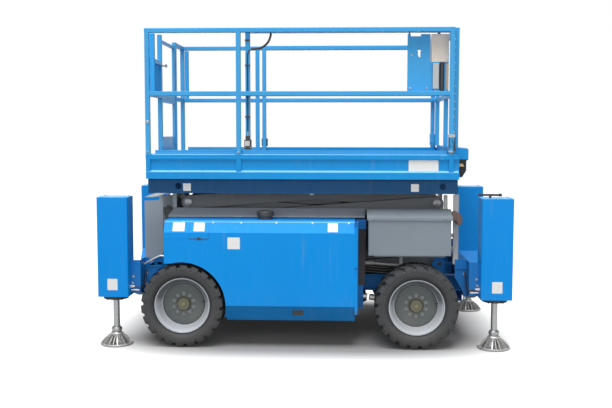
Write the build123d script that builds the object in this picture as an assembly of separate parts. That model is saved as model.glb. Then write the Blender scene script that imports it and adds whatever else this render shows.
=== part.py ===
from build123d import *
import os
from math import asin, degrees, hypot

# Rough-terrain scissor lift, full size, in mm.
# +X is the steering end, +Y the machine's left side, +Z up.  The floor is Z = 0.
# Most pieces are drawn on the right side (-Y) or the left side (+Y) and mirrored.
os.makedirs("parts", exist_ok=True)

# ---- driving dimensions ----------------------------------------------------
HALF_LENGTH = 1623.5      # outer faces of the jack housings
HALF_WIDTH = 865.0        # outer faces of the tyres
REAR_AXLE_X = -960.0
FRONT_AXLE_X = 890.0
WHEEL_R = 330.0
WHEEL_W = 305.0
WHEEL_Y = HALF_WIDTH - WHEEL_W / 2
RIM_R = 212.0
AXLE_Z = WHEEL_R
KINGPIN_Y = 640.0
HUB_R = 34.0

# scissor stack, with the platform down
STAGES = 5
STAGE_H = 164.0           # height of one stage between its end pins
FIXED_X = 1093.0          # pins that stay in line, at the steering end
SLIDE_X = -1003.0         # pins that roll forward as the stack rises
STACK_Z = 452.0
STACK_TOP_Z = STACK_Z + STAGES * STAGE_H
ARM_LENGTH = hypot(FIXED_X - SLIDE_X, STAGE_H)
ARM_ANGLE = degrees(asin(STAGE_H / ARM_LENGTH))
ARM_DEPTH = 110.0
ARM_WALL = 6.0
INNER_Y = (150.0, 205.0)
OUTER_Y = (220.0, 275.0)
BOSS_R = 46.0
BOSS_H = 5.0
PIN_R = 25.0
BORE_R = 25.1
ROLLER_R = 33.0
CROSS_TUBE_R = 30.0

# lift cylinders, each between two inner arm pairs: fractions along the arms from their front pins
CYLINDERS = (
    # name, stage of its foot
    ("lower", 1),
    ("upper", 3),
)
FOOT_AT = 0.80
HEAD_AT = 0.44

# roller tracks and the rails that carry them
TRACK_Y = (282.0, 325.0)
TRACK_H = 38.0            # half the clear height between the track flanges
TRACK_T = 10.0
TRACK_X = (SLIDE_X - 90, 150.0)
RAIL_Y = (325.0, 375.0)
RAIL_Z = (385.0, 519.0)
RAIL_END_X = 1300.0

# outriggers
BEAM_X = (1300.0, 1380.0)
BEAM_Z = (355.0, 600.0)
BEAM_HALF_Y = 775.0
BEAM_WALL = 8.0
HOUSING_X = (1380.0, HALF_LENGTH)
HOUSING_Y = (663.5, 863.5)
HOUSING_Z = (400.0, 1187.0)
HOUSING_WALL = 10.0
LEG_X = sum(HOUSING_X) / 2
LEG_Y = sum(HOUSING_Y) / 2
LEG_R = 25.0
LEG_TOP_Z = 850.0
PAD_R = 130.0
GUSSETS = 6

# side modules that swing out on a hinge at their front edge
COVER_X = (-1095.0, 405.0)
COVER_SKIN = 4.0
ARCH_R = 350.0
ARCH_TOP_Z = 669.0
HINGE_X = 415.0
HINGE_Y = 850.0
HINGE_PIN_R = 8.0
HINGE_ARM_Z = ((276.0, 292.0), (984.0, 1000.0))
TRAY_X = (-500.0, 390.0)
TRAY_Y = (420.0, 790.0)
TRAY_Z = 330.0

# platform
DECK_X = (-1249.0, 1213.0)
DECK_HALF_Y = 770.0
DECK_TOP_Z = 1420.0
SHEET = 4.0
JOIST_X = (-1200.0, -880.0, -560.0, -240.0, 80.0, 400.0, 720.0, 1010.0, 1170.0)
TUBE = 37.0
TUBE_CORNER = 6.0
RAIL_TOP_Z = 2508.0
MID_TOP_Z = 2018.0
MAIN_Y = DECK_HALF_Y - TUBE / 2          # centre of the main guard rails
EXT_X = (-464.0, 1206.0)
EXT_HALF_Y = 724.0
EXT_PLATE_Z = (1426.0, 1438.0)
EXT_LIP_X = 1187.0
TOE_TOP_Z = 1557.0
EXT_Y = EXT_HALF_Y - SHEET - 0.2 - TUBE / 2
GATE_Y = (-257.0, 343.0)
GATE_HINGE_Y = GATE_Y[1] - 12
REAR_RAIL_X = DECK_X[0] + TUBE / 2


# ---- helpers ---------------------------------------------------------------
def block(x, y, z):
    """A plain block between pairs of coordinates, in either order."""
    size = Box(abs(x[1] - x[0]), abs(y[1] - y[0]), abs(z[1] - z[0]))
    return Pos(sum(x) / 2, sum(y) / 2, sum(z) / 2) * size


def bar_x(y, z, x, r):
    """A round bar along X between two X values."""
    return Pos(sum(x) / 2, y, z) * Rot(0, 90, 0) * Cylinder(r, abs(x[1] - x[0]))


def bar_y(x, z, y, r):
    """A round bar along Y between two Y values."""
    return Pos(x, sum(y) / 2, z) * Rot(90, 0, 0) * Cylinder(r, abs(y[1] - y[0]))


def bar_z(x, y, z, r):
    """A round bar along Z between two Z values."""
    return Pos(x, y, sum(z) / 2) * Cylinder(r, abs(z[1] - z[0]))


def along_x(points, x):
    """A closed outline of (y, z) points carried along X."""
    face = make_face(Polyline(*points, close=True))
    return extrude(Plane.YZ.offset(x[0]) * face, x[1] - x[0])


def along_y(points, y):
    """A closed outline of (x, z) points carried along Y."""
    face = make_face(Polyline(*points, close=True))
    return extrude(Plane.XZ.offset(-y[1]) * face, y[1] - y[0])


def turned_z(points):
    """A closed outline of (radius, z) points turned about Z."""
    return revolve(Plane.XZ * make_face(Polyline(*points, close=True)), Axis.Z)


def mirrored(shape):
    """The same shape on the other side of the machine."""
    return mirror(shape, Plane.XZ)


def both(shape):
    """A shape together with its mirror image across the centre plane."""
    return shape + mirrored(shape)


def tube_face():
    return RectangleRounded(TUBE, TUBE, TUBE_CORNER)


def tube_x(y, z, x):
    """A square guard rail tube along X."""
    return extrude(Plane.YZ.offset(x[0]) * Pos(y, z) * tube_face(), x[1] - x[0])


def tube_y(x, z, y):
    """A square guard rail tube along Y."""
    return extrude(Plane.XZ.offset(-y[1]) * Pos(x, z) * tube_face(), y[1] - y[0])


def tube_z(x, y, z):
    """A square guard rail post."""
    return extrude(Plane.XY.offset(z[0]) * Pos(x, y) * tube_face(), z[1] - z[0])


def save(node, shape):
    export_step(shape, "parts/" + node + ".step")


# ---- chassis ---------------------------------------------------------------
def roller_track(pin_z):
    """The two flanges that the rollers run between, on the left side."""
    low = block(TRACK_X, (TRACK_Y[0], RAIL_Y[0]), (pin_z - TRACK_H - TRACK_T, pin_z - TRACK_H))
    high = block(TRACK_X, (TRACK_Y[0], RAIL_Y[0]), (pin_z + TRACK_H, pin_z + TRACK_H + TRACK_T))
    return low + high


def pin_bracket(pin_z, base_z):
    """Bored plate for the fixed end pin, on the left side, standing on base_z."""
    y = (TRACK_Y[0] + 5, RAIL_Y[0])
    plate = bar_y(FIXED_X, pin_z, y, 55)
    plate += block((FIXED_X - 55, FIXED_X + 55), y, (pin_z, base_z))
    return plate - bar_y(FIXED_X, pin_z, (y[0] - 1, y[1] + 1), BORE_R)


SLING_LUGS = (
    # hole x, hole z, long side
    (-1235.0, 600.0, 1),
    (1110.0, 608.0, -1),
)
LUG_R = 18.0


def sling_lug(x, z, side):
    """Lifting and tie-down lug on top of the left rail."""
    foot = RAIL_Z[1] - 1
    y = (RAIL_Y[0] + 20, RAIL_Y[0] + 36)
    lug = along_y(((x + side * 61, foot), (x - side * 45, foot), (x - side * 45, z + 28),
                   (x - side * 20, z + 55), (x + side * 30, z + 55), (x + side * 61, z + 10)), y)
    return lug - bar_y(x, z, (y[0] - 1, y[1] + 1), LUG_R)


def chassis_frame():
    y0, y1 = RAIL_Y
    z0, z1 = RAIL_Z
    wall = 8
    rail = along_x(((y0, z0), (y1, z0), (y1, z0 + wall), (y0 + wall, z0 + wall), (y0 + wall, z1 - wall),
                    (y1, z1 - wall), (y1, z1), (y0, z1)), (-RAIL_END_X, RAIL_END_X))
    side = rail + roller_track(STACK_Z) + pin_bracket(STACK_Z, z0 + 2)
    for x, z, long_side in SLING_LUGS:
        side += sling_lug(x, z, long_side)
    return both(side)


def cross_members():
    """Channels that hang under the two rails, clear of the folded stack."""
    high, low, y = RAIL_Z[0] - 0.2, RAIL_Z[0] - 85, RAIL_Y[1]
    return [along_y(((x - 40, low), (x + 40, low), (x + 40, high), (x + 32, high), (x + 32, low + 8),
                     (x - 32, low + 8), (x - 32, high), (x - 40, high)), (-y, y))
            for x in (-RAIL_END_X + 40, -480, 330, RAIL_END_X - 40)]


def belly_pan():
    """Pan under the cross members that slopes up towards the front axle."""
    top, low, y = RAIL_Z[0] - 85.2, RAIL_Z[0] - 140, RAIL_Y[1]
    pan = along_y(((-470, top), (-470, low), (414, low), (511, top), (505, top), (411, low + 6),
                   (-464, low + 6), (-464, top)), (-y, y))
    return pan + block((326, 334), (-y, y), (low + 5, top))


def outrigger_beam(end):
    """Full-width box beam at one end of the chassis, open at its two mouths."""
    x = (end * BEAM_X[0], end * BEAM_X[1])
    y, z, w = BEAM_HALF_Y, BEAM_Z, BEAM_WALL
    outer = ((-y, z[1]), (-y, z[0] + 70), (-y + 260, z[0]), (y - 260, z[0]), (y, z[0] + 70), (y, z[1]))
    inner = ((-y - 1, z[1] - w), (-y - 1, z[0] + 70 + w), (-y + 260, z[0] + w), (y - 260, z[0] + w),
             (y + 1, z[0] + 70 + w), (y + 1, z[1] - w))
    low, high = min(x), max(x)
    beam = along_x(outer, (low, high)) - along_x(inner, (low + w, high - w))
    return beam


CHEEK_Z = (421.0, 684.0)
CHEEK_Y = (620.0, 628.0)
CHEEK_REACH = {            # outlines of the plates that reach back from the beams, clear of tyres and lugs
    1: ((1300, 356), (1276, 356), (1274, 420), (1226, 508), (1206, 540), (1206, 684), (1300, 684)),
    -1: ((-1300, 400), (-1268, 470), (-1262, 500), (-1262, 684), (-1300, 684)),
}
CHEEK_LIP_X = {1: 1206.0, -1: 1262.0}


def beam_cheeks(end):
    """Plates on the left side: one closes the beam's mouth, one reaches back under a folded lip."""
    y = BEAM_HALF_Y
    mouth = block((end * BEAM_X[0], end * (BEAM_X[1] - 0.2)), (y + 0.2, y + 8), CHEEK_Z)
    lip = block((end * CHEEK_LIP_X[end], end * BEAM_X[0]), (CHEEK_Y[1] - 1, CHEEK_Y[1] + 12), (612, 617))
    return [mouth, along_y(CHEEK_REACH[end], CHEEK_Y) + lip]


def jack_housing(sx, sy):
    """Square jack case with a cap, a rod guide below and a round foot collar."""
    plate = (HOUSING_X[1] - HOUSING_X[0], HOUSING_Y[1] - HOUSING_Y[0])
    w = HOUSING_WALL
    place = Pos(sx * LEG_X, sy * LEG_Y, 0)
    outer = Plane.XY.offset(HOUSING_Z[0]) * RectangleRounded(plate[0], plate[1], 10)
    outer = extrude(outer, HOUSING_Z[1] - HOUSING_Z[0])
    inner = Pos(0, 0, (HOUSING_Z[0] + 30 + HOUSING_Z[1] - w) / 2)
    inner *= Box(plate[0] - 2 * w, plate[1] - 2 * w, HOUSING_Z[1] - w - HOUSING_Z[0] - 30)
    case = outer - inner
    case += bar_z(0, 0, (HOUSING_Z[0] - 14, HOUSING_Z[0] + 1), 52)
    case -= bar_z(0, 0, (HOUSING_Z[0] - 20, HOUSING_Z[0] + 31), BORE_R)
    bracket = block((-22, 22), (-sy * 62, -sy * 70), (HOUSING_Z[0] - 40, HOUSING_Z[0] + 1))
    return place * (case + bracket)


def jack_leg(sx, sy):
    """Jack rod on a ball socket and a ribbed foot pad."""
    leg = turned_z(((0, 0), (PAD_R - 6, 0), (PAD_R, 6), (PAD_R, 14), (PAD_R - 6, 18), (62, 26), (44, 60),
                    (40, 92), (LEG_R + 10, 104), (LEG_R + 16, 116), (LEG_R + 16, 134), (LEG_R + 6, 146),
                    (LEG_R, 150), (LEG_R, LEG_TOP_Z), (0, LEG_TOP_Z)))
    for n in range(GUSSETS):
        rib = Plane.XZ * make_face(Polyline((38, 15), (PAD_R - 8, 15), (PAD_R - 8, 24), (44, 88), (38, 88),
                                            close=True))
        leg += Rot(0, 0, 360 / GUSSETS * n + 30) * Pos(0, 4, 0) * extrude(rib, 8)
    return Pos(sx * LEG_X, sy * LEG_Y, 0) * leg


def rear_axle():
    """Fixed axle with drive motors, on saddles under the rails."""
    axle = bar_y(REAR_AXLE_X, AXLE_Z, (-560, 560), 42)
    axle += both(bar_y(REAR_AXLE_X, AXLE_Z, (520, 600), 95))
    axle += both(bar_y(REAR_AXLE_X, AXLE_Z, (599, 695), 78))
    axle += both(bar_y(REAR_AXLE_X, AXLE_Z, (694, 740), HUB_R - 0.05))
    return axle + both(axle_saddle(REAR_AXLE_X))


def axle_saddle(x):
    """Plate pair that hangs an axle under the left rail."""
    top = RAIL_Z[0] - 0.2
    return along_y(((x - 70, top), (x + 70, top), (x + 50, AXLE_Z - 20), (x - 50, AXLE_Z - 20)),
                   (RAIL_Y[0] + 4, RAIL_Y[1] - 4))


YOKE_Z = (80.0, 130.0)    # inner and outer height of a yoke arm from the axle line


def front_axle():
    """Box axle with a forked yoke at each end for the kingpins."""
    x, z = FRONT_AXLE_X, AXLE_Z
    axle = block((x - 45, x + 45), (-520, 520), (z - 45, z + 45))
    tip, (low, high) = KINGPIN_Y + 40, YOKE_Z
    yoke = along_x(((500, z - 60), (530, z - high), (tip, z - high), (tip, z - low), (548, z - low),
                    (535, z - 60), (535, z + 60), (548, z + low), (tip, z + low), (tip, z + high),
                    (530, z + high), (500, z + 60)), (x - 40, x + 40))
    yoke -= bar_z(x, KINGPIN_Y, (z - 140, z + 140), 18.1)
    return axle + both(yoke) + both(axle_saddle(x))


TIE_X = FRONT_AXLE_X - 120
TIE_Y = KINGPIN_Y
TIE_Z = AXLE_Z + 20


def knuckle(sy):
    """Steering knuckle: kingpin, drive motor, stub and steering arm."""
    x, y, z = FRONT_AXLE_X, sy * KINGPIN_Y, AXLE_Z
    body = bar_z(x, y, (z - YOKE_Z[1] - 6, z + YOKE_Z[1] + 6), 18)
    body += bar_z(x, y, (z - YOKE_Z[0] + 4, z + YOKE_Z[0] - 4), 42)
    body += bar_y(x, z, (sy * (KINGPIN_Y - 50), sy * 695), 66)
    body += bar_y(x, z, (sy * 694, sy * 740), HUB_R - 0.05)
    arm = Pos((TIE_X + x) / 2, y) * SlotCenterToCenter(x - TIE_X, 44)
    body += extrude(Plane.XY.offset(TIE_Z - 30) * arm, 20)
    body += bar_z(TIE_X, sy * TIE_Y, (TIE_Z - 11, TIE_Z + 22), 10)
    return body


def tie_rod():
    rod = bar_y(TIE_X, TIE_Z + 6, (-TIE_Y + 12, TIE_Y - 12), 12)
    rod += both(bar_z(TIE_X, TIE_Y, (TIE_Z - 8, TIE_Z + 20), 24))
    for sy in (-1, 1):
        rod -= bar_z(TIE_X, sy * TIE_Y, (TIE_Z - 20, TIE_Z + 40), 10.1)
    return rod


# ---- wheels ----------------------------------------------------------------
WHEELS = (
    # name, axle x, side
    ("front_left", FRONT_AXLE_X, 1),
    ("front_right", FRONT_AXLE_X, -1),
    ("rear_left", REAR_AXLE_X, 1),
    ("rear_right", REAR_AXLE_X, -1),
)


def tyre():
    """Wide tyre about the Y axis, centred on the origin, with bulged walls and a crowned tread."""
    h, r = WHEEL_W / 2, WHEEL_R
    half = ((RIM_R, h - 44), (RIM_R + 10, h - 44), (RIM_R + 22, h - 14), (RIM_R + 44, h), (r - 40, h - 1),
            (r - 22, h - 8), (r - 8, h - 34), (r - 2, h - 80), (r, h - 130))
    outline = half + tuple((x, -y) for x, y in reversed(half))
    return revolve(Plane.XY * make_face(Polyline(*outline, close=True)), Axis.Y)


def rim():
    """Dished rim, its open side towards +Y, with a bolted centre and a hub cap."""
    h, r = WHEEL_W / 2, RIM_R - 0.2
    outline = ((HUB_R, -5), (74, -5), (84, 16), (164, 16), (172, 8), (178, -14), (196, -22), (196, 50 - h),
               (206, 40 - h), (206, 30 - h), (r + 8, 30 - h), (r + 8, 43 - h), (r, 44 - h), (r, h - 44),
               (r + 8, h - 43), (r + 8, h - 30), (212, h - 30), (206, h - 42), (200, h - 52), (183, 44),
               (178, 32), (170, 28), (62, 28), (54, 34), (50, 58), (44, 64), (0, 64), (0, 30), (HUB_R, 30))
    return revolve(Plane.XY * make_face(Polyline(*outline, close=True)), Axis.Y)


# ---- side modules ----------------------------------------------------------
def right_cover():
    """Folded cover with a bevelled top edge, a lower band that slopes in, and a wheel arch."""
    outer = ((-600, 1008), (-800, 1008), (-812, 995), (-860, 915), (-860, 338), (-830, 222), (-700, 222),
             (-700, 226))
    inner = ((-827, 226), (-856, 339), (-856, 914), (-809, 992), (-798, 1004), (-600, 1004))
    sheet = along_x(outer + inner, COVER_X)
    end = ((-600, 1008), (-800, 1008), (-812, 995), (-860, 915), (-860, 338), (-830, 222), (-600, 222))
    sheet += along_x(end, (COVER_X[1] - COVER_SKIN, COVER_X[1]))
    sheet += along_x(end, (COVER_X[0], COVER_X[0] + COVER_SKIN))
    # rolled lip round the arch
    arch = bar_y(REAR_AXLE_X, AXLE_Z, (-857, -835), ARCH_R + 6)
    arch -= block((COVER_X[0] - 400, COVER_X[0] + COVER_SKIN), (-900, -800), (-100, 1200))
    sheet += arch - block((-1400, 0), (-900, -800), (-100, 338))
    cut = bar_y(REAR_AXLE_X, AXLE_Z, (-900, -590), ARCH_R)
    cut += block((COVER_X[0] - 300, REAR_AXLE_X), (-900, -590), (0, ARCH_TOP_Z))
    sheet -= cut
    sheet -= block((COVER_X[0] - 10, -600), (-835, -590), (200, 330))
    # cooling slot in the lower band, and the seam of the small filler flap
    sheet -= block((-85, 0), (-870, -810), (264, 306))
    sheet -= block((-733, -728), (-861, -858), (862, 930))
    sheet -= block((COVER_X[0] + 8, -728), (-861, -858), (857, 862))
    for z0, z1 in HINGE_ARM_Z:
        sheet -= bar_z(HINGE_X, -HINGE_Y, (z0 - 6, z1 + 6), 24)
    return sheet + module_hinge()


def module_hinge():
    """Knuckle down the cover's front corner, cut back where the chassis arms hold its pin."""
    x, y = HINGE_X, -HINGE_Y
    knuckle = bar_z(x, y, (HINGE_ARM_Z[0][1] + 3, HINGE_ARM_Z[1][0] - 3), 14)
    knuckle += block((COVER_X[1] - 1, x), (y - 4, y + 4), (HINGE_ARM_Z[0][1] + 3, HINGE_ARM_Z[1][0] - 3))
    return knuckle - bar_z(x, y, (200, 1100), HINGE_PIN_R + 0.1)


def hinge_bracket():
    """Chassis arms with a tapered post and the pin that carry the right module's hinge."""
    x, y = HINGE_X, -HINGE_Y
    low, high = HINGE_ARM_Z[0][0], HINGE_ARM_Z[1][1]
    bracket = along_y(((x + 16, low), (x + 60, low), (x + 60, 434), (x + 79, 936), (x + 79, high),
                       (x, high), (x, 936), (x + 16, 434)), (-608, -598))
    for z0, z1 in HINGE_ARM_Z:
        bracket += bar_z(x, y, (z0, z1), 16) + block((x, x + 16), (y, -599), (z0, z1))
        bracket += block((x, x + 60), (-600, -RAIL_Y[1] - 0.2), (z0, z1))
    bracket += block((x + 2, x + 58), (-RAIL_Y[1] - 0.2, -RAIL_Y[1] - 8), (low, high))
    return bracket + bar_z(x, y, (low, high), HINGE_PIN_R)


def right_tray():
    """Swing-out tray with turned-up edges, two stiffening channels and a braced front frame."""
    x, y, z = TRAY_X, TRAY_Y, TRAY_Z
    tray = along_x(((-y[1], z + 50), (-y[1], z), (-y[0], z), (-y[0], z + 50), (-y[0] - 6, z + 50),
                    (-y[0] - 6, z + 6), (-y[1] + 6, z + 6), (-y[1] + 6, z + 50)), x)
    for px in (x[0] + 150, x[1] - 150):
        tray += along_y(((px - 30, z + 1), (px - 20, z - 40), (px + 20, z - 40), (px + 30, z + 1)),
                        (-y[1], -y[0]))
    post = block((x[1] - 6, x[1]), (-y[1], -y[0]), (z, 930))
    post -= block((x[1] - 20, x[1] + 20), (-y[1] + 60, -y[0] - 60), (z + 60, 870))
    return tray + post


def side_unit():
    """Plain mass of the engine, or of the hydraulic unit on the other side."""
    body = block((-470, 340), (-780, -440), (TRAY_Z + 40, 900))
    foot = block((-440, 310), (-740, -480), (TRAY_Z + 6.2, TRAY_Z + 41))
    top = along_x(((-740, 899), (-480, 899), (-500, 975), (-720, 975)), (-380, 250))
    return body + foot + top


def right_tank():
    """Grey tank over the front wheel, with a sloped and slightly overhanging lid."""
    body = along_x(((-385, 728), (-385, 1036), (-600, 1070), (-742, 1018), (-742, 728)), (512, 1160))
    lid = along_x(((-378, 1034), (-378, 1052), (-600, 1086), (-752, 1030), (-752, 1008), (-742, 1008),
                   (-742, 1019), (-600, 1071), (-385, 1037), (-385, 1034)), (500, 1172))
    foot = along_x(((-300, 700), (-300, 728.5), (-700, 728.5), (-700, 712), (-420, 700)), (560, 1120))
    return body + lid + foot


def deck_plates():
    """Grey sheet shelf over the inner edge of each side module, on a row of brackets."""
    shelf = along_x(((-377, 1066), (-450, 1076), (-604, 1018), (-602, 1014), (-450, 1071), (-377, 1061)),
                    (-1130, 485))
    slant = make_face(Polyline((-1200, -350), (-1073, -370), (-1114, -615), (-1200, -630), close=True))
    shelf -= extrude(Plane.XY.offset(950) * slant, 200)
    for x in (-1050, -600, -160, 290):
        shelf += along_x(((-375.2, 480), (-383, 480), (-383, 1064), (-375.2, 1064)), (x, x + 60))
    return both(shelf)


def entry_ladder():
    """Two side plates with pressed treads, bolted on the rear beam."""
    x = (-1370, -1212)
    plate = along_y(((x[0], 600.2), (x[1] - 20, 600.2), (x[1], 700), (x[1], 1150), (x[1] - 38, 1128),
                     (x[0] + 88, 1124), (x[0], 1120)), (295, 303))
    ladder = both(plate)
    for z in (700, 860, 1020):
        ladder += along_y(((x[0] + 10, z), (x[1] - 10, z), (x[1] - 10, z - 24), (x[1] - 14, z - 24),
                           (x[1] - 14, z - 5), (x[0] + 14, z - 5), (x[0] + 14, z - 24),
                           (x[0] + 10, z - 24)), (-296, 296))
    return ladder


# ---- scissor stack ---------------------------------------------------------
def arm_pair(y, leaning):
    """Left and right box arms in one lateral band, rising to the back (1) or to the front (-1)."""
    width = y[1] - y[0]
    pins = (-ARM_LENGTH / 2, 0, ARM_LENGTH / 2)
    arm = extrude(Plane.XZ * SlotCenterToCenter(ARM_LENGTH, ARM_DEPTH), width)
    cell = ARM_LENGTH / 2 - 120
    for side in (-1, 1):
        hollow = Box(cell, width - 2 * ARM_WALL, ARM_DEPTH - 2 * ARM_WALL)
        arm -= Pos(side * ARM_LENGTH / 4, -width / 2, 0) * hollow
    for s in pins:
        arm += bar_y(s, 0, (-width - BOSS_H, BOSS_H), BOSS_R)
    for s in pins:
        arm -= bar_y(s, 0, (-width - 20, 20), BORE_R)
    tilt = Pos((FIXED_X + SLIDE_X) / 2, 0, STACK_Z + STAGE_H / 2) * Rot(0, leaning * ARM_ANGLE, 0)
    return both(tilt * Pos(0, -y[0], 0) * arm)


def on_arm(leaning, s, stage=1):
    """Point at fraction s of an arm, measured from its lower pin."""
    lower, upper = (FIXED_X, SLIDE_X) if leaning > 0 else (SLIDE_X, FIXED_X)
    return lower + s * (upper - lower), STACK_Z + (s + stage - 1) * STAGE_H


def cylinder_crossing(stage):
    """Where an inner pair carries the tube for a lift cylinder's foot, or nothing."""
    return (FOOT_AT,) if stage in [foot for name, foot in CYLINDERS] else ()


def outer_stub(x, z, roller):
    """Shaft end beyond the outer arms, with or without a track roller, on both sides."""
    stub = bar_y(x, z, (OUTER_Y[1], TRACK_Y[1] - 5), PIN_R)
    if roller:
        stub += bar_y(x, z, (TRACK_Y[0] + 5, TRACK_Y[1] - 5), ROLLER_R)
    return both(stub)


def inner_arms(stage):
    """Inner pair on its cross tubes, with the centre pins that carry the outer pair."""
    arms = arm_pair(INNER_Y, 1)
    for s in (0.07, 0.93) + cylinder_crossing(stage):
        x, z = on_arm(1, s)
        arms += bar_y(x, z, (-INNER_Y[0] - 3, INNER_Y[0] + 3), CROSS_TUBE_R)
    solid = [(0.5, OUTER_Y[1] + 8)]
    if stage == 1:
        solid.append((0.0, OUTER_Y[1] + 1))
    if stage == STAGES:
        solid.append((1.0, OUTER_Y[1] + 1))
    for s, reach in solid:
        x, z = on_arm(1, s)
        arms += both(bar_y(x, z, (INNER_Y[0] - 4, INNER_Y[1] + 4), PIN_R + 0.3))
        arms += both(bar_y(x, z, (INNER_Y[1] + 3, reach), PIN_R))
    if stage == 1:
        arms += outer_stub(*on_arm(1, 0), False)
    if stage == STAGES:
        arms += outer_stub(*on_arm(1, 1), True)
    return Pos(0, 0, (stage - 1) * STAGE_H) * arms


def outer_arms(stage):
    """Outer pair, tied by a full-width shaft at each end that carries the inner pairs."""
    arms = arm_pair(OUTER_Y, -1)
    for s in (0, 1):
        x, z = on_arm(-1, s)
        arms += bar_y(x, z, (-OUTER_Y[0] - 2, OUTER_Y[0] + 2), PIN_R)
        arms += both(bar_y(x, z, (OUTER_Y[0] + 1, OUTER_Y[1] + 4), PIN_R + 0.3))
    if stage == 1:
        arms += outer_stub(*on_arm(-1, 0), True)
    if stage == STAGES:
        arms += outer_stub(*on_arm(-1, 1), False)
    return Pos(0, 0, (stage - 1) * STAGE_H) * arms


def cylinder_line(foot_stage):
    """Foot point, length and angle of a lift cylinder with the platform down."""
    x0, z0 = on_arm(1, FOOT_AT, foot_stage)
    x1, z1 = on_arm(1, HEAD_AT, foot_stage + 1)
    length = hypot(x1 - x0, z1 - z0)
    return x0, z0, length, degrees(asin((z1 - z0) / length))


def cylinder_barrel(foot_stage):
    x0, z0, length, angle = cylinder_line(foot_stage)
    mouth = length - 110
    tube = bar_x(0, 0, (40, mouth), 55) - bar_x(0, 0, (85, mouth + 1), 44)
    gland = bar_x(0, 0, (mouth - 40, mouth + 12), 60) - bar_x(0, 0, (mouth - 60, mouth + 20), 32.1)
    eye = bar_y(0, 0, (-45, 45), 50) + block((0, 60), (-40, 40), (-42, 42))
    eye -= bar_y(0, 0, (-60, 60), CROSS_TUBE_R + 0.1)
    port = bar_z(120, 0, (50, 74), 14)
    return Pos(x0, 0, z0) * Rot(0, -angle, 0) * (tube + gland + eye + port)


def cylinder_rod(foot_stage):
    x0, z0, length, angle = cylinder_line(foot_stage)
    rod = bar_x(0, 0, (100, length - 30), 32) + bar_x(0, 0, (95, 135), 43.9)
    rod += bar_y(length, 0, (-45, 45), 50) + bar_y(length, 0, (4 - INNER_Y[0], INNER_Y[0] - 4), CROSS_TUBE_R)
    return Pos(x0, 0, z0) * Rot(0, -angle, 0) * rod


# ---- platform --------------------------------------------------------------
def platform_underframe():
    """Longitudinal tubes with the upper roller tracks, side webs and cross joists."""
    y0, y1 = RAIL_Y
    x = (DECK_X[0] + 30, DECK_X[1] - 30)
    top = DECK_TOP_Z - SHEET - 0.2
    rail = along_x(((y0, 1218), (y1, 1218), (y1, 1226), (y0 + 8, 1226), (y0 + 8, top - 8), (y1, top - 8),
                    (y1, top), (y0, top)), x)
    web = along_x(((706, 1214), (706, 1330.6), (700, 1330.6), (700, 1220), (664, 1220), (664, 1214)),
                  (DECK_X[0] + 3, DECK_X[1] - 3))
    for hole in (SLIDE_X, FIXED_X):
        web -= bar_y(hole, STACK_TOP_Z, (690, 720), PIN_R)
    frame = both(rail + roller_track(STACK_TOP_Z) + pin_bracket(STACK_TOP_Z, STACK_TOP_Z + 60))
    low = STACK_TOP_Z + ARM_DEPTH / 2 + 8
    for jx in JOIST_X:
        frame += along_y(((jx - 20, low), (jx + 20, low), (jx + 20, low + 5), (jx - 14, low + 5),
                          (jx - 14, top - 5), (jx + 20, top - 5), (jx + 20, top), (jx - 20, top)),
                         (-724, 724))
        web += block((jx - 20, jx - 14), (680, 701), (1218, low + 1))
    return frame + both(web)


def platform_deck():
    """Folded side members with a proud lip and a recessed web, the deck sheet, and plates at both ends."""
    top, t = DECK_TOP_Z, SHEET
    w = DECK_HALF_Y
    side = along_x(((0, top - t), (750, top - t), (750, 1379), (w - t, 1379), (w - t, 1335), (726, 1335),
                    (726, 1331), (w, 1331), (w, 1379 + t), (754, 1379 + t), (754, 1486), (w, 1486),
                    (w, 1521), (738, 1521), (738, 1517), (w - t, 1517), (w - t, 1490), (750, 1490),
                    (750, top), (0, top)), DECK_X)
    rear = block((DECK_X[0], DECK_X[0] + t), (-751, 751), (1331, 1521))
    front = block((DECK_X[1] - t, DECK_X[1]), (-751, 751), (1331, top))
    return both(side) + rear + front


def main_rails():
    """Fixed guard rails: two sides, the gate posts, and the infill beside the gate."""
    z_top, z_mid = RAIL_TOP_Z - TUBE / 2, MID_TOP_Z - TUBE / 2
    foot = 1521.2
    x0, x1 = DECK_X[0], 1167.0
    side = tube_x(MAIN_Y, z_top, (x0, x1)) + tube_x(MAIN_Y, z_mid, (x0 + 10, x1 - 10))
    for x in (REAR_RAIL_X, -512, x1 - TUBE / 2):
        side += tube_z(x, MAIN_Y, (foot, RAIL_TOP_Z - 3))
    for x in (REAR_RAIL_X, -512, x1 - TUBE / 2):
        side += block((max(x - 32, x0), x + 32), (MAIN_Y - 12, MAIN_Y + 18), (foot, foot + 8))
    rails = both(side)
    posts = (GATE_Y[0] - TUBE / 2, GATE_Y[1] + TUBE / 2)
    for y in posts:
        rails += tube_z(REAR_RAIL_X, y, (foot, RAIL_TOP_Z))
    rails += tube_y(REAR_RAIL_X, z_top, (posts[1], MAIN_Y))
    rails += tube_y(REAR_RAIL_X, z_mid, (posts[1], MAIN_Y))
    rails += tube_y(REAR_RAIL_X, 2290 - TUBE / 2, (-MAIN_Y, posts[0]))
    rails += tube_y(REAR_RAIL_X, z_mid, (-MAIN_Y, posts[0]))
    rails += block((REAR_RAIL_X - 3, REAR_RAIL_X + 3), (-MAIN_Y, posts[0]), (1990, 2280))
    return rails + gate_hinge_pins()


def toe_board():
    """Kick plate along the left side of the deck."""
    board = block((-1180, 1118), (727, 730), (DECK_TOP_Z + 0.2, TOE_TOP_Z))
    return board + block((-1180, 1118), (727, 732.8), (TOE_TOP_Z - 8, TOE_TOP_Z))


GATE_KNUCKLES = (1640.0, 2360.0)


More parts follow.
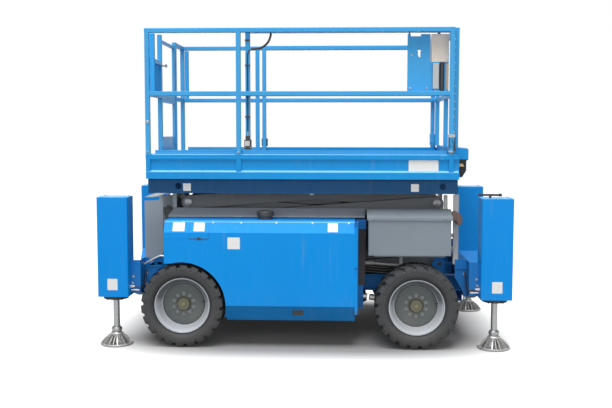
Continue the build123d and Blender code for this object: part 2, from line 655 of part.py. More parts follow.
def gate_hinge_pins():
    """Lugs on the gate post that hold the two hinge pins."""
    y = GATE_HINGE_Y
    pins = []
    for z in GATE_KNUCKLES:
        lug = bar_z(REAR_RAIL_X, y, (z - 48, z - 38), 9)
        lug += block((REAR_RAIL_X - 9, REAR_RAIL_X + 9), (y, GATE_Y[1] + 2), (z - 48, z - 38))
        pins.append(lug + bar_z(REAR_RAIL_X, y, (z - 39, z + 34), 5))
    return pins[0] + pins[1]


def entry_gate():
    """Inward-swinging gate: a slim top bar, a wide middle bar and a kick plate."""
    y0, y1 = GATE_Y[0] + 8, GATE_HINGE_Y - 12
    x = REAR_RAIL_X
    gate = block((x - 10, x + 10), (y0, y0 + 28),
                 (1540, 2470)) + block((x - 10, x + 10), (y1 - 28, y1), (1540, 2470))
    for z in ((2444, 2470), (1950, 2018), (1540, 1568)):
        gate += block((x - 10, x + 10), (y0, y1), z)
    gate += block((x - 2, x + 2), (y0 + 20, y1 - 20), (1560, 1660))
    for z in GATE_KNUCKLES:
        gate += bar_z(x, GATE_HINGE_Y, (z - 32, z + 32), 9)
        gate += block((x - 5, x + 5), (y1 - 1, GATE_HINGE_Y), (z - 32, z + 32))
        gate -= bar_z(x, GATE_HINGE_Y, (z - 40, z + 40), 5.1)
    return gate


def extension_deck():
    """Roll-out deck: a sheet on skid bars, with toe boards folded up at both sides."""
    x = (EXT_X[0], EXT_LIP_X - 0.2)
    w, t = EXT_HALF_Y, SHEET
    z0, z1 = EXT_PLATE_Z
    deck = along_x(((-w, z0), (20 - w, z0), (20 - w, z1 - t), (w - 20, z1 - t), (w - 20, z0), (w, z0),
                    (w, TOE_TOP_Z), (w - t, TOE_TOP_Z), (w - t, z1), (t - w, z1), (t - w, TOE_TOP_Z),
                    (-w, TOE_TOP_Z)), x)
    for y in (-360, 0, 360):
        deck += block(x, (y - 12, y + 12), (z0, z1 - t + 1))
    return deck


def extension_lip():
    """Deep front member of the roll-out deck that closes the main deck's end."""
    w, t = EXT_HALF_Y, SHEET
    z0 = EXT_PLATE_Z[0]
    lip = along_y(((EXT_LIP_X, z0), (EXT_LIP_X, 1575), (1277, 1575), (1287, 1565), (1287, 1486),
                   (1272, 1478), (1272, 1400), (1240, 1347), (1219, 1347), (1219, 1352), (1237, 1352),
                   (1266, 1401), (1266, 1482), (1281, 1489), (1281, 1562), (1275, 1569), (1193, 1569),
                   (1193, z0)), (-w, w))
    ends = along_y(((1190, z0), (1190, 1572), (1276, 1572), (1284, 1564), (1284, 1487), (1269, 1480),
                    (1269, 1401), (1238, 1350), (1220, 1350), (1220, z0)), (w - t, w))
    return lip + both(ends)


def extension_rails():
    """Guard rails of the roll-out deck, nested inside the main ones, closed at the front."""
    z_top, z_mid = RAIL_TOP_Z - TUBE / 2, MID_TOP_Z - TUBE / 2
    x0, x1 = EXT_X
    side = tube_x(EXT_Y, z_top, (x0, x1)) + tube_x(EXT_Y, z_mid, (x0 + 10, x1 - 10))
    side += tube_z(x0 + 21, EXT_Y, (EXT_PLATE_Z[1] + 0.2, RAIL_TOP_Z - 3))
    side += tube_z(x1 - TUBE / 2, EXT_Y, (1575.2, RAIL_TOP_Z - 3))
    rails = both(side)
    for z in (z_top, z_mid):
        rails += tube_y(x1 - TUBE / 2, z, (-EXT_Y, EXT_Y))
    rails += tube_z(x1 - TUBE / 2, 0, (1575.2, RAIL_TOP_Z - 3))
    return rails


CONTROL_Y = -(EXT_Y - TUBE / 2) + 0.2


def control_mount():
    """Plate between the rails with a keyhole, a top lug slot, and a narrow strap that holds the box."""
    y = (CONTROL_Y, CONTROL_Y + 5)
    plate = along_y(((807, 2022), (1000, 2022), (1000, 2236), (985, 2250), (985, 2462), (807, 2462)), y)
    plate -= bar_y(898, 2338, (y[0] - 1, y[1] + 1), 13)
    plate -= block((889, 907), (y[0] - 1, y[1] + 1), (2284, 2338))
    plate -= block((830, 910), (y[0] - 1, y[1] + 1), (2446, 2470))
    strap = along_y(((999, 2030), (1060, 2030), (1060, 2247.6), (999, 2247.6)), y)
    return plate + strap


def control_box():
    """Upper control box: moulded case, sloped panel, guard loop and joystick boot."""
    y = (CONTROL_Y + 0.2, CONTROL_Y + 150)
    case = along_x(((y[0], 2248), (y[1], 2248), (y[1], 2400), (y[0] + 40, 2462), (y[0], 2462)),
                   (995.2, 1126))
    stick = Pos(1060, (y[0] + y[1]) / 2 + 18, 2425)
    boot = stick * Cylinder(20, 60)
    return case + boot


# ---- export ----------------------------------------------------------------
save("chassis_frame", chassis_frame())
save("cross_members", Compound(children=cross_members()))
save("belly_pan", belly_pan())
save("hinge_brackets", both(hinge_bracket()))
save("outrigger_beams", Compound(children=[outrigger_beam(end) for end in (-1, 1)]))
cheeks = beam_cheeks(-1) + beam_cheeks(1)
save("beam_cheeks", Compound(children=cheeks + [mirrored(cheek) for cheek in cheeks]))
save("jack_housings", Compound(children=[jack_housing(sx, sy) for sx in (-1, 1) for sy in (-1, 1)]))
for sx, end in ((1, "front"), (-1, "rear")):
    for sy, side in ((1, "left"), (-1, "right")):
        save("jack_leg_" + end + "_" + side, jack_leg(sx, sy))
save("axles", Compound(children=[rear_axle(), front_axle()]))
save("steering_knuckle_left", knuckle(1))
save("steering_knuckle_right", knuckle(-1))
save("tie_rod", tie_rod())
for name, x, sy in WHEELS:
    place = Pos(x, sy * WHEEL_Y, AXLE_Z)
    save("tyre_" + name, place * tyre())
    save("rim_" + name, place * (rim() if sy > 0 else mirrored(rim())))
for part, shape in (("cover", right_cover()), ("tray", right_tray())):
    save("right_" + part, shape)
    save("left_" + part, mirrored(shape))
save("engine", side_unit())
save("hydraulic_unit", mirrored(side_unit()))
save("side_tanks", both(right_tank()))
save("deck_plates", deck_plates())
save("entry_ladder", entry_ladder())
for stage in range(1, STAGES + 1):
    save("inner_arms_" + str(stage), inner_arms(stage))
    save("outer_arms_" + str(stage), outer_arms(stage))
for name, foot_stage in CYLINDERS:
    save(name + "_cylinder_barrel", cylinder_barrel(foot_stage))
    save(name + "_cylinder_rod", cylinder_rod(foot_stage))
save("platform_underframe", platform_underframe())
save("platform_deck", platform_deck())
save("main_rails", main_rails())
save("toe_boards", both(toe_board()))
save("entry_gate", entry_gate())
save("extension_deck", extension_deck())
save("extension_lip", extension_lip())
save("extension_rails", extension_rails())
save("control_mount", control_mount())
save("control_box", control_box())
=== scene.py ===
import bmesh
import bpy
from math import cos, pi, radians, sin
from mathutils import Matrix, Vector


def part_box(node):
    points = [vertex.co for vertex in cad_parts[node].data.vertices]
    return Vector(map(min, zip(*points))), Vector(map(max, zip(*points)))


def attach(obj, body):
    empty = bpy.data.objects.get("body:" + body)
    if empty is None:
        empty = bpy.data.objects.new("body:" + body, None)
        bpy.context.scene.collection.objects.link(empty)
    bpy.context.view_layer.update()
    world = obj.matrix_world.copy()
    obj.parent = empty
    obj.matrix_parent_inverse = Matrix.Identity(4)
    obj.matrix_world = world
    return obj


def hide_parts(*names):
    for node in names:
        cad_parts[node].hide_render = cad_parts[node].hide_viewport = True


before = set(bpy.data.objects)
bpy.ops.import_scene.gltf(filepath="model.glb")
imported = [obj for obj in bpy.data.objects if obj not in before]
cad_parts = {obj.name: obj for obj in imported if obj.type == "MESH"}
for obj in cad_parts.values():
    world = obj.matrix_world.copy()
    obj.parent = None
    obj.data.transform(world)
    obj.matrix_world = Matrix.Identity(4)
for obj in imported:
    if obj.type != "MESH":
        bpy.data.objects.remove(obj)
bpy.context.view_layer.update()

# Rough-terrain scissor lift: paint, rubber and bare metal for every part, and the small
# fittings that the solid model leaves out.  Metres; +X is the steering end, +Y the left side.


# ---- colours and shader groups ---------------------------------------------
def srgb(red, green, blue):
    """A colour given as 0 to 255, as the linear values that a shader takes."""
    shares = [c / 255 for c in (red, green, blue)]
    return tuple(c / 12.92 if c * 255 < 11 else ((c + 0.055) / 1.055) ** 2.4 for c in shares) + (1,)


class Tree:
    """Short ways to add nodes to one shader tree."""

    def __init__(self, tree):
        self.tree = tree

    def put(self, item, name, value):
        """Links or sets one socket, found by its name, or as in0, in1 and so on by its number."""
        socket = item.inputs[int(name[2:]) if name[:2] == "in" and name[2:].isdigit() else name]
        if isinstance(value, bpy.types.NodeSocket):
            self.tree.links.new(value, socket)
        else:
            socket.default_value = value

    def fill(self, item, inputs):
        for name, value in inputs.items():
            self.put(item, name.replace("_", " "), value)
        return item.outputs

    def add(self, kind, settings=None, **inputs):
        """A new node's outputs; settings are its own properties, the rest are for its sockets."""
        item = self.tree.nodes.new("ShaderNode" + kind)
        for name, value in (settings or {}).items():
            setattr(item, name, value)
        return self.fill(item, inputs)

    def use(self, shared, **inputs):
        """A shared group with this material's own values; returns its one output."""
        item = self.tree.nodes.new("ShaderNodeGroup")
        item.node_tree = shared
        return self.fill(item, inputs)[0]

    def maths(self, what, a, b=0.0, clamp=False):
        return self.add("Math", {"operation": what, "use_clamp": clamp}, in0=a, in1=b)[0]

    def mul(self, a, b, clamp=False):
        return self.maths("MULTIPLY", a, b, clamp)

    def plus(self, a, b, clamp=False):
        return self.maths("ADD", a, b, clamp)

    def less(self, a, b, clamp=False):
        return self.maths("SUBTRACT", a, b, clamp)

    def mix(self, amount, a, b):
        return self.add("Mix", {"data_type": "RGBA", "blend_type": "MIX"}, in0=amount, in6=a, in7=b)[2]

    def spread(self, value, low, high, to_low=0.0, to_high=1.0):
        return self.add("MapRange", {"clamp": True}, Value=value, From_Min=low, From_Max=high,
                        To_Min=to_low, To_Max=to_high)[0]

    def noise(self, place, scale, detail=4.0, rough=0.55):
        return self.add("TexNoise", None, Vector=place, Scale=scale, Detail=detail, Roughness=rough)["Fac"]

    def split(self, vector):
        return self.add("SeparateXYZ", None, Vector=vector)

    def up(self):
        """How far a face looks up, from -1 to 1."""
        return self.split(self.add("NewGeometry")["True Normal"])["Z"]

    def stretched(self, place, scale, turn=(0, 0, 0)):
        return self.add("Mapping", None, Vector=place, Rotation=turn, Scale=scale)[0]

    def bump(self, strength, distance, height):
        return self.add("Bump", None, Strength=strength, Distance=distance, Height=height)[0]


class Group(Tree):
    """A shared shader group: a place or a colour by name, the other inputs numbers, and one output."""

    def __init__(self, name, output, **inputs):
        super().__init__(bpy.data.node_groups.new(name, "ShaderNodeTree"))
        kinds = {"Place": "NodeSocketVector", "Colour": "NodeSocketColor"}
        new = self.tree.interface.new_socket
        for label, value in inputs.items():
            socket = new(label, in_out="INPUT", socket_type=kinds.get(label, "NodeSocketFloat"))
            if value is not None:
                socket.default_value = value
        new(output, in_out="OUTPUT", socket_type=kinds.get(output, "NodeSocketFloat"))
        self.given = self.tree.nodes.new("NodeGroupInput").outputs
        self.end = self.tree.nodes.new("NodeGroupOutput")

    def __getitem__(self, label):
        return self.given[label]

    def out(self, value):
        self.put(self.end, "in0", value)
        return self.tree


def tone_drift():
    """Slow change of shade over a painted or moulded face, with finer mottling in it."""
    t = Group("tone drift", "Colour", Colour=None, Place=None, Scale=2.0, Amount=0.1)
    broad = t.noise(t["Place"], t["Scale"], 3)
    fine = t.noise(t["Place"], t.mul(t["Scale"], 23), 5)
    both = t.plus(t.mul(broad, 0.7), t.mul(fine, 0.3))
    gain = t.plus(t.mul(t.mul(t.less(both, 0.5), t["Amount"]), 4), 1)
    return t.out(t.add("VectorMath", {"operation": "SCALE"}, in0=t["Colour"], Scale=gain)[0])


def edge_wear():
    """Where corners are rubbed: strong on edges, broken up by noise."""
    t = Group("edge wear", "Mask", Place=None, Width=0.006, Amount=0.5, Scale=14.0)
    rounded = t.add("Bevel", {"samples": 4}, Radius=t["Width"])[0]
    flat = t.add("NewGeometry")["True Normal"]
    dot = t.add("VectorMath", {"operation": "DOT_PRODUCT"}, in0=rounded, in1=flat)["Value"]
    edge = t.spread(dot, 0.995, 0.80)
    patch = t.noise(t["Place"], t["Scale"], 6, 0.65)
    gate = t.less(1.0, t.mul(t["Amount"], 0.6))
    return t.out(t.mul(edge, t.spread(patch, t.less(gate, 0.12), t.plus(gate, 0.03))))


def road_dust():
    """Pale dust: thick near the ground, in patches above, and on faces that look up."""
    t = Group("road dust", "Mask", Place=None, Height=0.5, Amount=0.4)
    low = t.maths("POWER", t.spread(t.split(t["Place"])["Z"], t["Height"], 0.0), 1.5)
    patch = t.spread(t.noise(t["Place"], 5.5, 8, 0.62), 0.34, 0.72)
    speck = t.spread(t.noise(t["Place"], 160, 3, 0.6), 0.50, 0.72)
    settled = t.mul(t.maths("MAXIMUM", t.up(), 0.0), 0.35)
    whole = t.plus(t.mul(low, t.plus(t.mul(patch, 0.75), 0.25)), t.mul(settled, patch))
    return t.out(t.mul(t.mul(whole, t.plus(t.mul(speck, 0.3), 0.7)), t["Amount"], True))


def rain_runs():
    """Faint vertical streaks, in patches."""
    t = Group("rain runs", "Mask", Place=None, Scale=30.0, Amount=0.3)
    drawn_out = t.add("VectorMath", {"operation": "MULTIPLY"}, in0=t["Place"], in1=(1, 1, 0.06))[0]
    runs = t.spread(t.noise(drawn_out, t["Scale"], 4, 0.6), 0.55, 0.75)
    patch = t.spread(t.noise(t["Place"], 2.2, 3), 0.42, 0.66)
    return t.out(t.mul(t.mul(runs, patch), t["Amount"]))


def underside_painted_shade():
    """Painted shade: darker colour on faces which lean over the ground, low down and in patches."""
    t = Group("road film", "Mask", Place=None, Amount=0.5)
    under = t.spread(t.up(), -0.05, -0.30)
    low = t.spread(t.split(t["Place"])["Z"], 0.9, 0.5)
    patch = t.spread(t.noise(t["Place"], 4, 5), 0.3, 0.7, 0.85, 1.0)
    return t.out(t.mul(t.mul(under, low), t.mul(patch, t["Amount"])))


def paint_skin():
    """Height of sprayed paint: orange peel with a few fine scratches."""
    t = Group("paint skin", "Height", Place=None, Peel=260.0, Scratch=0.3)
    peel = t.noise(t["Place"], t["Peel"], 2, 0.5)
    line = t.spread(t.noise(t.stretched(t["Place"], (2, 2, 55), (0.3, 0.5, 0.2)), 6, 5, 0.7), 0.66, 0.74)
    return t.out(t.less(t.mul(peel, 0.3), t.mul(line, t["Scratch"])))


def cast_grain():
    """Height of a cast, moulded or sooty surface."""
    t = Group("cast grain", "Height", Place=None, Scale=90.0)
    cells = t.add("TexVoronoi", {"feature": "SMOOTH_F1"}, Vector=t["Place"], Scale=t["Scale"])["Distance"]
    return t.out(t.plus(cells, t.noise(t["Place"], t.mul(t["Scale"], 4), 4, 0.7)))


DRIFT, WEAR, DUST, RUNS = tone_drift(), edge_wear(), road_dust(), rain_runs()
UNDER_SHADE, SKIN, GRAIN = underside_painted_shade(), paint_skin(), cast_grain()
DUST_COLOUR, PRIMER = srgb(168, 158, 142), srgb(72, 70, 68)
# The first colour here is the dark blue of the painted shade on faces that lean over the ground.
UNDER_SHADE_COLOUR, RUST, RUBBED_STEEL = srgb(6, 22, 40), srgb(120, 72, 42), srgb(150, 152, 154)


class Material(Tree):
    """A new material with its shader and the object's own coordinates."""

    def __init__(self, name):
        self.material = bpy.data.materials.new(name)
        self.material.use_nodes = True
        super().__init__(self.material.node_tree)
        self.shader = self.tree.nodes["Principled BSDF"]
        self.place = self.add("TexCoord")["Object"]

    def drift(self, colour, scale, amount):
        return self.use(DRIFT, Colour=colour, Place=self.place, Scale=scale, Amount=amount)

    def mask(self, shared, **values):
        return self.use(shared, Place=self.place, **values)

    def range(self, pattern, gloss, less, more):
        """Roughness that follows a pattern, a little either way of the gloss."""
        return self.spread(pattern, 0.3, 0.7, gloss - less, gloss + more)

    def done(self, **inputs):
        self.fill(self.shader, inputs)
        return self.material


def painted(name, colour, gloss, coat, wear, dust, dust_height=0.7, runs=0.25, drift=0.06):
    """Sprayed paint over steel, with rubbed corners, low dust, faint streaks, and painted shade on faces that lean over
    the ground.
    """
    m = Material(name)
    streak = m.mask(RUNS, Amount=runs)
    shade = m.mix(streak, m.drift(colour, 1.6, drift), m.mix(0.5, colour, DUST_COLOUR))
    worn = m.mask(WEAR, Amount=wear)
    # Painted shade: faces that lean over the ground, low down, are pulled towards a dark blue.
    shade = m.mix(m.mask(UNDER_SHADE, Amount=0.62), m.mix(worn, shade, PRIMER), UNDER_SHADE_COLOUR)
    dirt = m.mask(DUST, Height=dust_height, Amount=dust)
    rough = m.plus(m.range(m.noise(m.place, 7, 4), gloss, 0.05, 0.08), m.mul(m.plus(dirt, worn), 0.4), True)
    return m.done(Base_Color=m.mix(dirt, shade, DUST_COLOUR), Roughness=rough,
                  Coat_Weight=m.mul(m.less(1.0, dirt, True), coat), Coat_Roughness=0.12,
                  Specular_IOR_Level=0.15, Normal=m.bump(0.06, 0.002, m.mask(SKIN, Peel=260.0)))


def bare_metal(name, colour, gloss, dust, metallic=1.0, dust_height=0.5, spots=0.0, brushed=0.0, grain=0.10):
    """Unpainted metal: drifting shade, spots of rust, a brushed or grainy skin, and dust."""
    m = Material(name)
    spot = m.spread(m.noise(m.place, 38, 6, 0.7), 0.62, 0.72, 0.0, spots)
    shade = m.mix(spot, m.drift(colour, 6.0, 0.12), RUST)
    dirt = m.mask(DUST, Height=dust_height, Amount=dust)
    cover = m.plus(dirt, spot, True)
    streaks = m.noise(m.stretched(m.place, (400, 400, 12)), 1.0, 3)
    height = m.mix(brushed, m.mask(GRAIN, Scale=120.0), streaks)
    rough = m.plus(m.range(streaks, gloss, 0.06, 0.10), m.mul(cover, 0.4), True)
    return m.done(Base_Color=m.mix(dirt, shade, DUST_COLOUR), Roughness=rough,
                  Metallic=m.mul(m.less(1.0, cover, True), metallic), Normal=m.bump(grain, 0.001, height))


def moulded(name, colour, gloss, dust, scale=140.0, bump=0.15, dust_height=0.6):
    """Rubber, plastic or sooty castings with a fine pebbled skin and dust."""
    m = Material(name)
    dirt = m.mask(DUST, Height=dust_height, Amount=dust)
    worn = m.mask(WEAR, Amount=0.5, Scale=40.0)
    shade = m.mix(m.mul(worn, 0.35), m.drift(colour, 5.0, 0.08), DUST_COLOUR)
    rough = m.plus(m.range(m.noise(m.place, 11, 4), gloss, 0.08, 0.08), m.mul(dirt, 0.3), True)
    return m.done(Base_Color=m.mix(dirt, shade, DUST_COLOUR), Roughness=rough,
                  Normal=m.bump(bump, 0.0015, m.mask(GRAIN, Scale=scale)))


def tread_plate(name, colour):
    """Painted deck sheet with raised bars in two directions, rubbed bright in patches."""
    m = Material(name)
    axes = m.split(m.place)
    x, y = axes["X"], axes["Y"]

    def off_middle(value):
        return m.maths("ABSOLUTE", m.less(m.maths("FRACT", value), 0.5))

    bars = []
    for turn in (1, -1):
        u = m.mul(m.plus(x, m.mul(y, turn)), 24)
        v = m.mul(m.less(x, m.mul(y, turn)), 24)
        reach = m.plus(m.mul(off_middle(m.plus(u, 0.25 * turn)), 0.28), off_middle(v))
        bars.append(m.spread(reach, 0.13, 0.06))
    raised = m.maths("MAXIMUM", *bars)
    rubbed = m.mul(raised, m.spread(m.noise(m.place, 3, 6), 0.35, 0.65))
    shade = m.mix(m.mul(rubbed, 0.55), m.drift(colour, 2.0, 0.1), RUBBED_STEEL)
    dirt = m.mask(DUST, Height=0.2, Amount=0.9)
    return m.done(Base_Color=m.mix(dirt, shade, DUST_COLOUR), Metallic=m.mul(rubbed, 0.6),
                  Roughness=m.plus(m.mul(dirt, 0.4), 0.42), Normal=m.bump(0.5, 0.003, raised))


PAINTS = (
    # name, colour, gloss, coat, wear, dust, and where they differ dust height, runs, drift
    ("cover blue", (0, 142, 224), 0.42, 0.02, 0.30, 0.10),
    ("jack blue", (0, 140, 224), 0.42, 0.02, 0.40, 0.12),
    # A darker blue than the covers: painted shade for frame parts that lie under and between other parts.
    ("frame blue", (18, 112, 184), 0.46, 0.02, 0.40, 0.40),
    # The cap's paler blue paints the light that falls on the tops of the jack housings.
    ("cap blue", (96, 178, 232), 0.40, 0.1, 0.2, 0.10),
    # The pale blue below is a painted highlight for rounded edges and lips that catch the light.
    ("edge blue", (122, 198, 240), 0.34, 0.2, 0.2, 0.05),
    ("infill blue", (52, 160, 232), 0.8, 0.0, 0.1, 0.05),
    ("deck blue", (16, 142, 212), 0.42, 0.02, 0.40, 0.10),
    # A darker blue: painted shade under the deck's lip.
    ("underframe blue", (26, 78, 122), 0.5, 0.0, 0.30, 0.15),
    ("rail blue", (62, 158, 216), 0.40, 0.04, 0.36, 0.08, 0.7, 0.1),
    ("side grey", (131, 141, 150), 0.48, 0.0, 0.30, 0.30, 1.0),
    # A paler grey than the parts' own: painted light on the shelf, ladder and stack guard, which lie in shade.
    ("shelf grey", (162, 172, 180), 0.50, 0.0, 0.30, 0.30, 1.0),
    ("arm grey", (118, 122, 126), 0.46, 0.0, 0.4, 0.30, 1.0, 0.4),
    ("light grey", (182, 184, 182), 0.45, 0.0, 0.35, 0.25, 1.0),
    ("black paint", (34, 35, 37), 0.48, 0.05, 0.3, 0.5),
    # Near black: painted shade for the opening beside the tank.
    ("dark lining", (62, 58, 60), 0.6, 0.0, 0.2, 0.3, 1.1),
    ("disc grey", (90, 99, 102), 0.5, 0.0, 0.3, 0.45, 0.9),
    ("rim silver", (182, 188, 196), 0.40, 0.1, 0.20, 0.35, 0.8),
    ("sticker", (228, 229, 228), 0.42, 0.2, 0.0, 0.06, 0.7, 0.12),
    ("signal red", (196, 30, 28), 0.35, 0.3, 0.2, 0.08),
    ("tan wood", (196, 172, 130), 0.6, 0.0, 0.3, 0.2, 0.7, 0.25, 0.12),
)
METALS = (
    # name, colour, gloss, dust, and where they differ metallic, dust height, spots, brushed, grain
    ("bright rod", (205, 206, 204), 0.34, 0.15, 0.8),
    ("rod chrome", (205, 207, 210), 0.16, 0.25, 1.0, 0.5, 0.0, 1.0, 0.03),
    ("zinc", (156, 158, 158), 0.42, 0.25, 0.8),
    ("nut steel", (128, 134, 136), 0.5, 0.3, 0.5, 0.9),
    ("foot zinc", (154, 155, 156), 0.40, 0.16, 0.85, 0.5, 0.08),
    ("hub olive", (98, 99, 84), 0.6, 0.30, 0.4, 0.5, 0.4),
    ("brass plug", (122, 113, 84), 0.5, 0.30, 0.6, 0.5, 0.5),
)
MOULDINGS = (
    # name, colour, gloss, dust, and where they differ grain scale, bump, dust height
    ("tyre rubber", (42, 45, 49), 0.66, 0.13, 70.0, 0.22, 0.95),
    ("hose rubber", (26, 26, 28), 0.45, 0.25, 300.0, 0.12),
    ("brown rubber", (92, 72, 66), 0.6, 0.3, 160.0, 0.2, 1.3),
    ("black plastic", (32, 33, 36), 0.42, 0.15),
    ("control beige", (214, 204, 192), 0.5, 0.10, 420.0, 0.08),
    ("cast iron", (52, 53, 55), 0.5, 0.6, 110.0, 0.3, 1.2),
)
FINISH = {name: make(name, srgb(*colour), *values)
          for make, rows in ((painted, PAINTS), (bare_metal, METALS), (moulded, MOULDINGS),
                             (tread_plate, (("deck tread", (84, 112, 138)),)))
          for name, colour, *values in rows}

NODE_FINISH = (
    # finish, words; a solid takes the first row with a word that its name holds
    ("cover blue", ("right_cover", "left_cover")),
    ("jack blue", ("jack_housings",)),
    # Frame parts take the darker blue, which paints their shade.
    ("frame blue", ("chassis_frame", "cross_members", "belly_pan", "hinge_brackets", "outrigger_beams", "beam_cheeks")),
    # The underframe takes the darker blue, which paints the shade under the deck's lip.
    ("underframe blue", ("platform_underframe",)),
    ("deck blue", ("platform_deck", "extension_deck", "extension_lip")),
    ("rail blue", ("main_rails", "toe_boards", "entry_gate", "extension_rails", "control_mount")),
    ("side grey", ("side_tanks",)),
    # Deck plates and ladder take the paler grey, which paints light on them.
    ("shelf grey", ("deck_plates", "entry_ladder")),
    ("black paint", ("axles", "steering_knuckle", "tie_rod", "right_tray", "left_tray")),
    ("arm grey", ("_arms_", "cylinder_barrel")),
    ("rod chrome", ("cylinder_rod",)),
    ("cast iron", ("engine", "hydraulic_unit")),
    ("control beige", ("control_box",)),
    ("tyre rubber", ("tyre_",)),
    ("rim silver", ("rim_",)),
    ("foot zinc", ("jack_leg",)),
)


def finish_nodes():
    """Gives every solid its paint or metal."""
    for name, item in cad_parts.items():
        finish = next(finish for finish, words in NODE_FINISH if any(word in name for word in words))
        item.data.materials.clear()
        item.data.materials.append(FINISH[finish])


# ---- making pieces ---------------------------------------------------------
SIDES = (
    # side, name
    (-1, "right"),
    (1, "left"),
)


def unit(a, b):
    """A matrix that carries the Z axis from a to b, with its origin at a."""
    a, b = Vector(a), Vector(b)
    return Matrix.Translation(a) @ (b - a).to_track_quat("Z", "Y").to_matrix().to_4x4()


def facing(at, way):
    """A matrix that puts local Z along the way a fitting points, at the place it sits."""
    return unit(at, Vector(at) + Vector(way))


def at(x, y, z):
    return Matrix.Translation((x, y, z))


def upright(side, y):
    """Lays an outline drawn in X and Z on the plane at `side` * y, its thickness going outward."""
    return Matrix(((1, 0, 0, 0), (0, 0, side, side * y), (0, 1, 0, 0), (0, 0, 0, 1)))


def across(x, side=1):
    """Lays an outline drawn in Y and Z on the plane at x, its thickness going forward."""
    return Matrix(((0, 0, 1, x), (side, 0, 0, 0), (0, 1, 0, 0), (0, 0, 0, 1)))


def turns(count, start=0.0):
    """Even angles round a circle, the first one `start` steps on."""
    return [2 * pi * (k + start) / count for k in range(count)]


